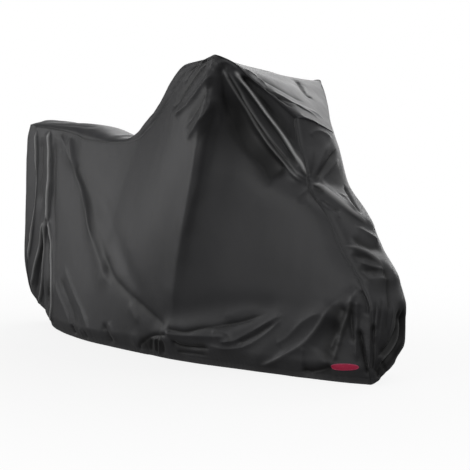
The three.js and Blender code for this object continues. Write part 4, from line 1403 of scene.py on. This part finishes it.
# The patch: its slope, how square its outline is (2 is an ellipse), its thickness, how far in from the edge
# it has that, its border's width and height, the gap under it and its cells. The frame gives place and size.
PATCH_SLOPE = 0.08
PATCH_ROUNDING = 2.4
PATCH_THICK = 1.1
PATCH_EDGE = 0.8
PATCH_BORDER = 2.6
PATCH_BORDER_HIGH = 0.55
PATCH_GAP = 0.25
PATCH_CELLS = (116, 30)


def patch_mesh():
    """A low lens-shaped plate with a raised border that lies on the right panel's cloth."""
    low, high = (np.array(corner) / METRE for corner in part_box("hem_patch"))
    length = high[0] - low[0]
    height = high[2] - low[2] - PATCH_SLOPE * length
    middle = (low + high) / 2
    cloth = bmesh.new()
    cloth.from_mesh(bpy.data.objects["right_side_cloth"].data)
    tree = BVHTree.FromBMesh(cloth)
    cloth.free()
    plate = bmesh.new()
    uv = plate.loops.layers.uv.new("Patch")
    bmesh.ops.create_grid(plate, x_segments=PATCH_CELLS[0], y_segments=PATCH_CELLS[1], size=0.5)
    flat = {}
    for vert in plate.verts:
        across, up = 2 * vert.co.x, 2 * vert.co.y
        half = height / 2 * (1 - abs(across) ** PATCH_ROUNDING) ** (1 / PATCH_ROUNDING)
        x, z = length / 2 * across, half * up
        inside = min(length / 2 - abs(x), half - abs(z))
        start = (middle[0] + x, 2 * low[1], middle[2] + PATCH_SLOPE * x + z)
        hit = tree.ray_cast(Vector([axis * METRE for axis in start]), Vector((0, 1, 0)))[0]
        border = PATCH_BORDER_HIGH * math.exp(-(((inside - PATCH_BORDER / 2) / (PATCH_BORDER / 2)) ** 2))
        thick = PATCH_THICK * min(1, math.sqrt(max(inside, 0) / PATCH_EDGE)) + border
        flat[vert] = (x * METRE, z * METRE, inside)
        vert.co = hit + Vector((0, -1, 0)) * (PATCH_GAP + thick) * METRE
    for face in plate.faces:
        face.smooth = True
        face.material_index = 1 if min(flat[vert][2] for vert in face.verts) < PATCH_BORDER else 0
        for loop in face.loops:
            loop[uv].uv = flat[loop.vert][:2]
    mesh = bpy.data.meshes.new("patch")
    plate.to_mesh(mesh)
    plate.free()
    if sum(polygon.normal.y for polygon in mesh.polygons) > 0:
        mesh.flip_normals()
    return mesh


# The camera sees the cover as the photo does: its focal length and its sensor's width in millimetres, how far
# it sees and its place in metres, and how far it tilts down and is turned in degrees.
LENS = 125.5
SENSOR = 36
SIGHT = 200
CAMERA_PLACE = (5.5799, -4.3793, 1.054)
CAMERA_TILT = 4.535
CAMERA_TURN = 50.5

# The studio's soft lights: where they stand, seen from the cover (degrees round from the front and up), their
# width, height and power. All stand equally far off and face the cover's middle.
LIGHTS = (
    ("high back light", 130, 28, 3.4, 1.7, 67),
    ("low back light", 112, 7, 1.7, 1.7, 3),
    ("left light", 90, 38, 1.7, 1.7, 38),
    ("low left light", 94, 12, 1.7, 1.7, 44),
    ("rear light", 200, 7, 1.7, 1.7, 9),
    ("rear right light", 220, 7, 1.7, 1.7, 36),
    ("right light", 280, 7, 1.7, 1.7, 44),
    ("overhead light", 0, 80, 1.7, 1.7, 20),
)
LIGHTS_OFF = 5.0
LIGHTS_AIM = (0.0, 0.0, 0.7)

# How much light comes from all around, and how much more from two sides, with the way to each.
GLOW_ROUND = 0.03
GLOWS = (((0.5, 0.0, 0.87), 0.7), ((0.0, 1.0, 0.0), 0.22))

# The floor: its radius and edges, how pale it looks, how pale it is for the light that it throws back, the
# share of pure white near the cover, and the distances between which that share grows to all.
FLOOR_RADIUS = 40
FLOOR_EDGES = 96
FLOOR_PALE = 0.85
FLOOR_BOUNCE = 0.12
FLOOR_GLOW_NEAR = 0.85
FLOOR_GLOW_FROM = 0.6
FLOOR_GLOW_TO = 3.2


def pale_floor():
    """A white floor that fades into the white around it, and throws little light back up at the cover."""
    material, tree, _ = new_material("pale floor")
    tree.nodes.remove(tree.nodes["Principled BSDF"])
    seen = add_node(tree, "ShaderNodeLightPath").outputs["Is Camera Ray"]
    white = (1, 1, 1)
    pale = add_node(tree, "ShaderNodeBsdfDiffuse", {"Color": tint(white, FLOOR_PALE)}).outputs[0]
    dull = add_node(tree, "ShaderNodeBsdfDiffuse", {"Color": tint(white, FLOOR_BOUNCE)}).outputs[0]
    glow = add_node(tree, "ShaderNodeEmission", {"Color": tint(white, 1), "Strength": 1.0}).outputs[0]
    place = add_node(tree, "ShaderNodeTexCoord").outputs["Object"]
    away = add_node(tree, "ShaderNodeVectorMath", {0: place}, operation="LENGTH").outputs["Value"]
    fade = {"Value": away, "From Min": FLOOR_GLOW_FROM, "From Max": FLOOR_GLOW_TO, "To Min": FLOOR_GLOW_NEAR}
    share = add_node(tree, "ShaderNodeMapRange", fade).outputs["Result"]
    shown = add_node(tree, "ShaderNodeMixShader", {0: share, 1: pale, 2: glow}).outputs[0]
    both = add_node(tree, "ShaderNodeMixShader", {0: seen, 1: dull, 2: shown}).outputs[0]
    feed(tree, tree.nodes["Material Output"].inputs["Surface"], both)
    return material


def studio_world():
    """White to the camera, and elsewhere a soft light, mostly from above the front and some from the left."""
    world = bpy.data.worlds.new("studio")
    world.use_nodes = True
    tree = world.node_tree
    background = tree.nodes["Background"]
    background.inputs["Color"].default_value = (1, 1, 1, 1)
    toward = add_node(tree, "ShaderNodeTexCoord").outputs["Generated"]
    strength = GLOW_ROUND
    for way, glow in GLOWS:
        along = add_node(tree, "ShaderNodeVectorMath", {0: toward, 1: way}, operation="DOT_PRODUCT")
        facing = calculate(tree, "MAXIMUM", along.outputs["Value"], 0.0)
        spread = calculate(tree, "MULTIPLY", facing, facing)
        strength = calculate(tree, "ADD", calculate(tree, "MULTIPLY", spread, glow), strength)
    seen = add_node(tree, "ShaderNodeLightPath").outputs["Is Camera Ray"]
    feed(tree, background.inputs["Strength"], calculate(tree, "MAXIMUM", seen, strength))
    return world


class CoverSizes(bpy.types.PropertyGroup):
    """Sizes of the cover's seams, hem, creases and sewing"""

    crease_depth: bpy.props.FloatProperty(
        name="Crease Depth",
        description="How deep the creases of the cloth are, as a share of their drawn depth",
        default=1.0,
        min=0.0,
        max=1.5,
        subtype="FACTOR",
    )
    welt_height: bpy.props.FloatProperty(
        name="Welt Height",
        description="How far the folded edges inside a seam lift the cloth over it",
        default=0.0012,
        min=0.0,
        max=0.006,
        unit="LENGTH",
    )
    hem_height: bpy.props.FloatProperty(
        name="Hem Height",
        description="Height of the turned-up hem that holds the elastic",
        default=0.024,
        min=0.008,
        max=0.06,
        unit="LENGTH",
    )
    stitch_pitch: bpy.props.FloatProperty(
        name="Stitch Pitch",
        description="Distance from one stitch to the next",
        default=0.0052,
        min=0.004,
        max=0.01,
        unit="LENGTH",
    )
    stitch_length: bpy.props.FloatProperty(
        name="Stitch Length",
        description="Length of the thread that shows in one stitch",
        default=0.0042,
        min=0.002,
        max=0.009,
        unit="LENGTH",
    )
    thread_width: bpy.props.FloatProperty(
        name="Thread Width",
        description="Thickness of the sewing thread",
        default=0.0009,
        min=0.0003,
        max=0.002,
        unit="LENGTH",
    )


class CoverLook(bpy.types.PropertyGroup):
    """Colours and finish of the cover's cloth, thread and patch"""

    colour: bpy.props.FloatVectorProperty(
        name="Cloth Colour",
        description="Colour of the coated cloth",
        default=(0.045, 0.045, 0.048),
        min=0.0,
        max=1.0,
        subtype="COLOR",
    )
    # The colour of the painted highlight along sharp crests.
    crest_highlight_colour: bpy.props.FloatVectorProperty(
        name="Crest Highlight Colour",
        description="Colour painted along sharp crests as a highlight",
        default=(0.5, 0.5, 0.5),
        min=0.0,
        max=1.0,
        subtype="COLOR",
    )
    roughness: bpy.props.FloatProperty(
        name="Cloth Roughness",
        description="How matt the coating is",
        default=0.5,
        min=0.1,
        max=1.0,
        subtype="FACTOR",
    )
    thread_pitch: bpy.props.FloatProperty(
        name="Weave Pitch",
        description="Distance between two threads of the weave",
        default=0.0008,
        min=0.0003,
        max=0.003,
        precision=5,
        unit="LENGTH",
    )
    dust: bpy.props.FloatProperty(
        name="Dust",
        description="How much dust lies on the cloth just over the floor",
        default=0.12,
        min=0.0,
        max=1.0,
        subtype="FACTOR",
    )
    sewing_colour: bpy.props.FloatVectorProperty(
        name="Sewing Colour",
        description="Colour of the sewing thread",
        default=(0.030, 0.030, 0.032),
        min=0.0,
        max=1.0,
        subtype="COLOR",
    )
    patch_colour: bpy.props.FloatVectorProperty(
        name="Patch Colour",
        description="Colour of the small patch",
        default=(0.75, 0.03, 0.11),
        min=0.0,
        max=1.0,
        subtype="COLOR",
    )
    border_colour: bpy.props.FloatVectorProperty(
        name="Patch Border Colour",
        description="Colour of the stitches round the patch",
        default=(0.85, 0.10, 0.22),
        min=0.0,
        max=1.0,
        subtype="COLOR",
    )


class COVER_OT_stage(bpy.types.Operator):
    """Makes the pale floor, the soft studio light and the camera"""

    bl_idname = "cover.stage"
    bl_label = "Stage"

    def execute(self, context):
        scene = context.scene
        camera_data = bpy.data.cameras.new("camera")
        camera_data.lens = LENS
        camera_data.sensor_width = SENSOR
        camera_data.clip_end = SIGHT
        camera = bpy.data.objects.new("camera", camera_data)
        camera.location = CAMERA_PLACE
        camera.rotation_euler = (math.radians(90 - CAMERA_TILT), 0, math.radians(CAMERA_TURN))
        scene.collection.objects.link(camera)
        scene.camera = camera
        floor_shape = bmesh.new()
        bmesh.ops.create_circle(floor_shape, cap_ends=True, segments=FLOOR_EDGES, radius=FLOOR_RADIUS)
        floor_mesh = bpy.data.meshes.new("floor")
        floor_shape.to_mesh(floor_mesh)
        floor_shape.free()
        floor = bpy.data.objects.new("floor", floor_mesh)
        scene.collection.objects.link(floor)
        floor_mesh.materials.append(pale_floor())
        scene.world = studio_world()
        aim = Vector(LIGHTS_AIM)
        for name, round_from_front, up, wide, high, power in LIGHTS:
            data = bpy.data.lights.new(name, "AREA")
            data.shape = "RECTANGLE"
            data.size, data.size_y = wide, high
            data.energy = power
            lamp = bpy.data.objects.new(name, data)
            turned = Euler((0, -math.radians(up), math.radians(round_from_front)))
            toward = turned.to_matrix() @ Vector((1, 0, 0))
            lamp.location = aim + toward * LIGHTS_OFF
            lamp.rotation_euler = (-toward).to_track_quat("-Z", "Y").to_euler()
            scene.collection.objects.link(lamp)
        scene.view_settings.view_transform = "Standard"
        return {"FINISHED"}


class COVER_OT_side_panels(bpy.types.Operator):
    """Makes the right and left side panels with their folds, creases and turned-in hem"""

    bl_idname = "cover.side_panels"
    bl_label = "Side Panels"

    def execute(self, context):
        cloth = black_cloth(context.scene.cover_look)
        for name in ("right", "left"):
            CREASED.pop(name, None)
            grid = dict(creased(name))
            turn_hem(grid, -1, context.scene.cover_sizes.hem_height / METRE)
            mesh = cloth_mesh(f"{name} side cloth", grid)
            add_piece(f"{name}_side_cloth", mesh, [cloth], f"side_panel_{name}")
        return {"FINISHED"}


class COVER_OT_centre_panel(bpy.types.Operator):
    """Makes the panel that runs over the top from the hem at the rear to the hem at the front"""

    bl_idname = "cover.centre_panel"
    bl_label = "Centre Panel"

    def execute(self, context):
        CREASED.pop("centre", None)
        grid = dict(creased("centre"))
        for end in (0, -1):
            turn_hem(grid, end, context.scene.cover_sizes.hem_height / METRE)
        cloth = bpy.data.materials.get("black coated cloth") or black_cloth(context.scene.cover_look)
        add_piece("centre_cloth", cloth_mesh("centre cloth", grid), [cloth], "centre_panel")
        return {"FINISHED"}


class COVER_OT_stitches(bpy.types.Operator):
    """Sews the seams and the hem with one line of stitches on either side of each seam"""

    bl_idname = "cover.stitches"
    bl_label = "Stitches"

    def execute(self, context):
        sizes = context.scene.cover_sizes
        sewing = thread("sewing thread", context.scene.cover_look.sewing_colour)
        for name in ("right", "left", "centre"):
            add_piece(f"{name}_stitches", stitch_mesh(name, sizes), [sewing])
        return {"FINISHED"}


class COVER_OT_patch(bpy.types.Operator):
    """Makes the small plain patch with its stitched border on the right panel"""

    bl_idname = "cover.patch"
    bl_label = "Patch"

    def execute(self, context):
        look = context.scene.cover_look
        materials = [patch_weave(look.patch_colour), patch_border(look.border_colour)]
        add_piece("hem_patch_cloth", patch_mesh(), materials, "hem_patch")
        return {"FINISHED"}


class COVER_OT_declare(bpy.types.Operator):
    """Does nothing to the scene."""

    bl_idname = "cover.declare"
    bl_label = "Declare Cloth"

    def execute(self, context):
        return {"FINISHED"}


OPERATORS = (
    COVER_OT_stage,
    COVER_OT_side_panels,
    COVER_OT_centre_panel,
    COVER_OT_stitches,
    COVER_OT_patch,
    COVER_OT_declare,
)


class COVER_PT_cover(bpy.types.Panel):
    """Lists the cover's pieces with their sizes and colours"""

    bl_label = "Motorcycle Cover"
    bl_idname = "COVER_PT_cover"
    bl_space_type = "VIEW_3D"
    bl_region_type = "UI"
    bl_category = "Cover"

    def draw(self, context):
        for settings in (context.scene.cover_sizes, context.scene.cover_look):
            box = self.layout.box()
            for name in settings.__annotations__:
                box.prop(settings, name)
        for operator in OPERATORS:
            self.layout.operator(operator.bl_idname)


CLASSES = (CoverSizes, CoverLook, *OPERATORS, COVER_PT_cover)


def register():
    """Adds the cover's operators, its panel and its settings to Blender."""
    for cls in CLASSES:
        bpy.utils.register_class(cls)
    bpy.types.Scene.cover_sizes = bpy.props.PointerProperty(type=CoverSizes)
    bpy.types.Scene.cover_look = bpy.props.PointerProperty(type=CoverLook)


def unregister():
    """Takes them out again."""
    del bpy.types.Scene.cover_sizes
    del bpy.types.Scene.cover_look
    for cls in reversed(CLASSES):
        bpy.utils.unregister_class(cls)


def main():
    """Builds the cover piece by piece."""
    register()
    bpy.ops.cover.stage()
    bpy.ops.cover.side_panels()
    bpy.ops.cover.centre_panel()
    bpy.ops.cover.stitches()
    bpy.ops.cover.patch()
    bpy.ops.cover.declare()


if __name__ == "__main__":
    main()
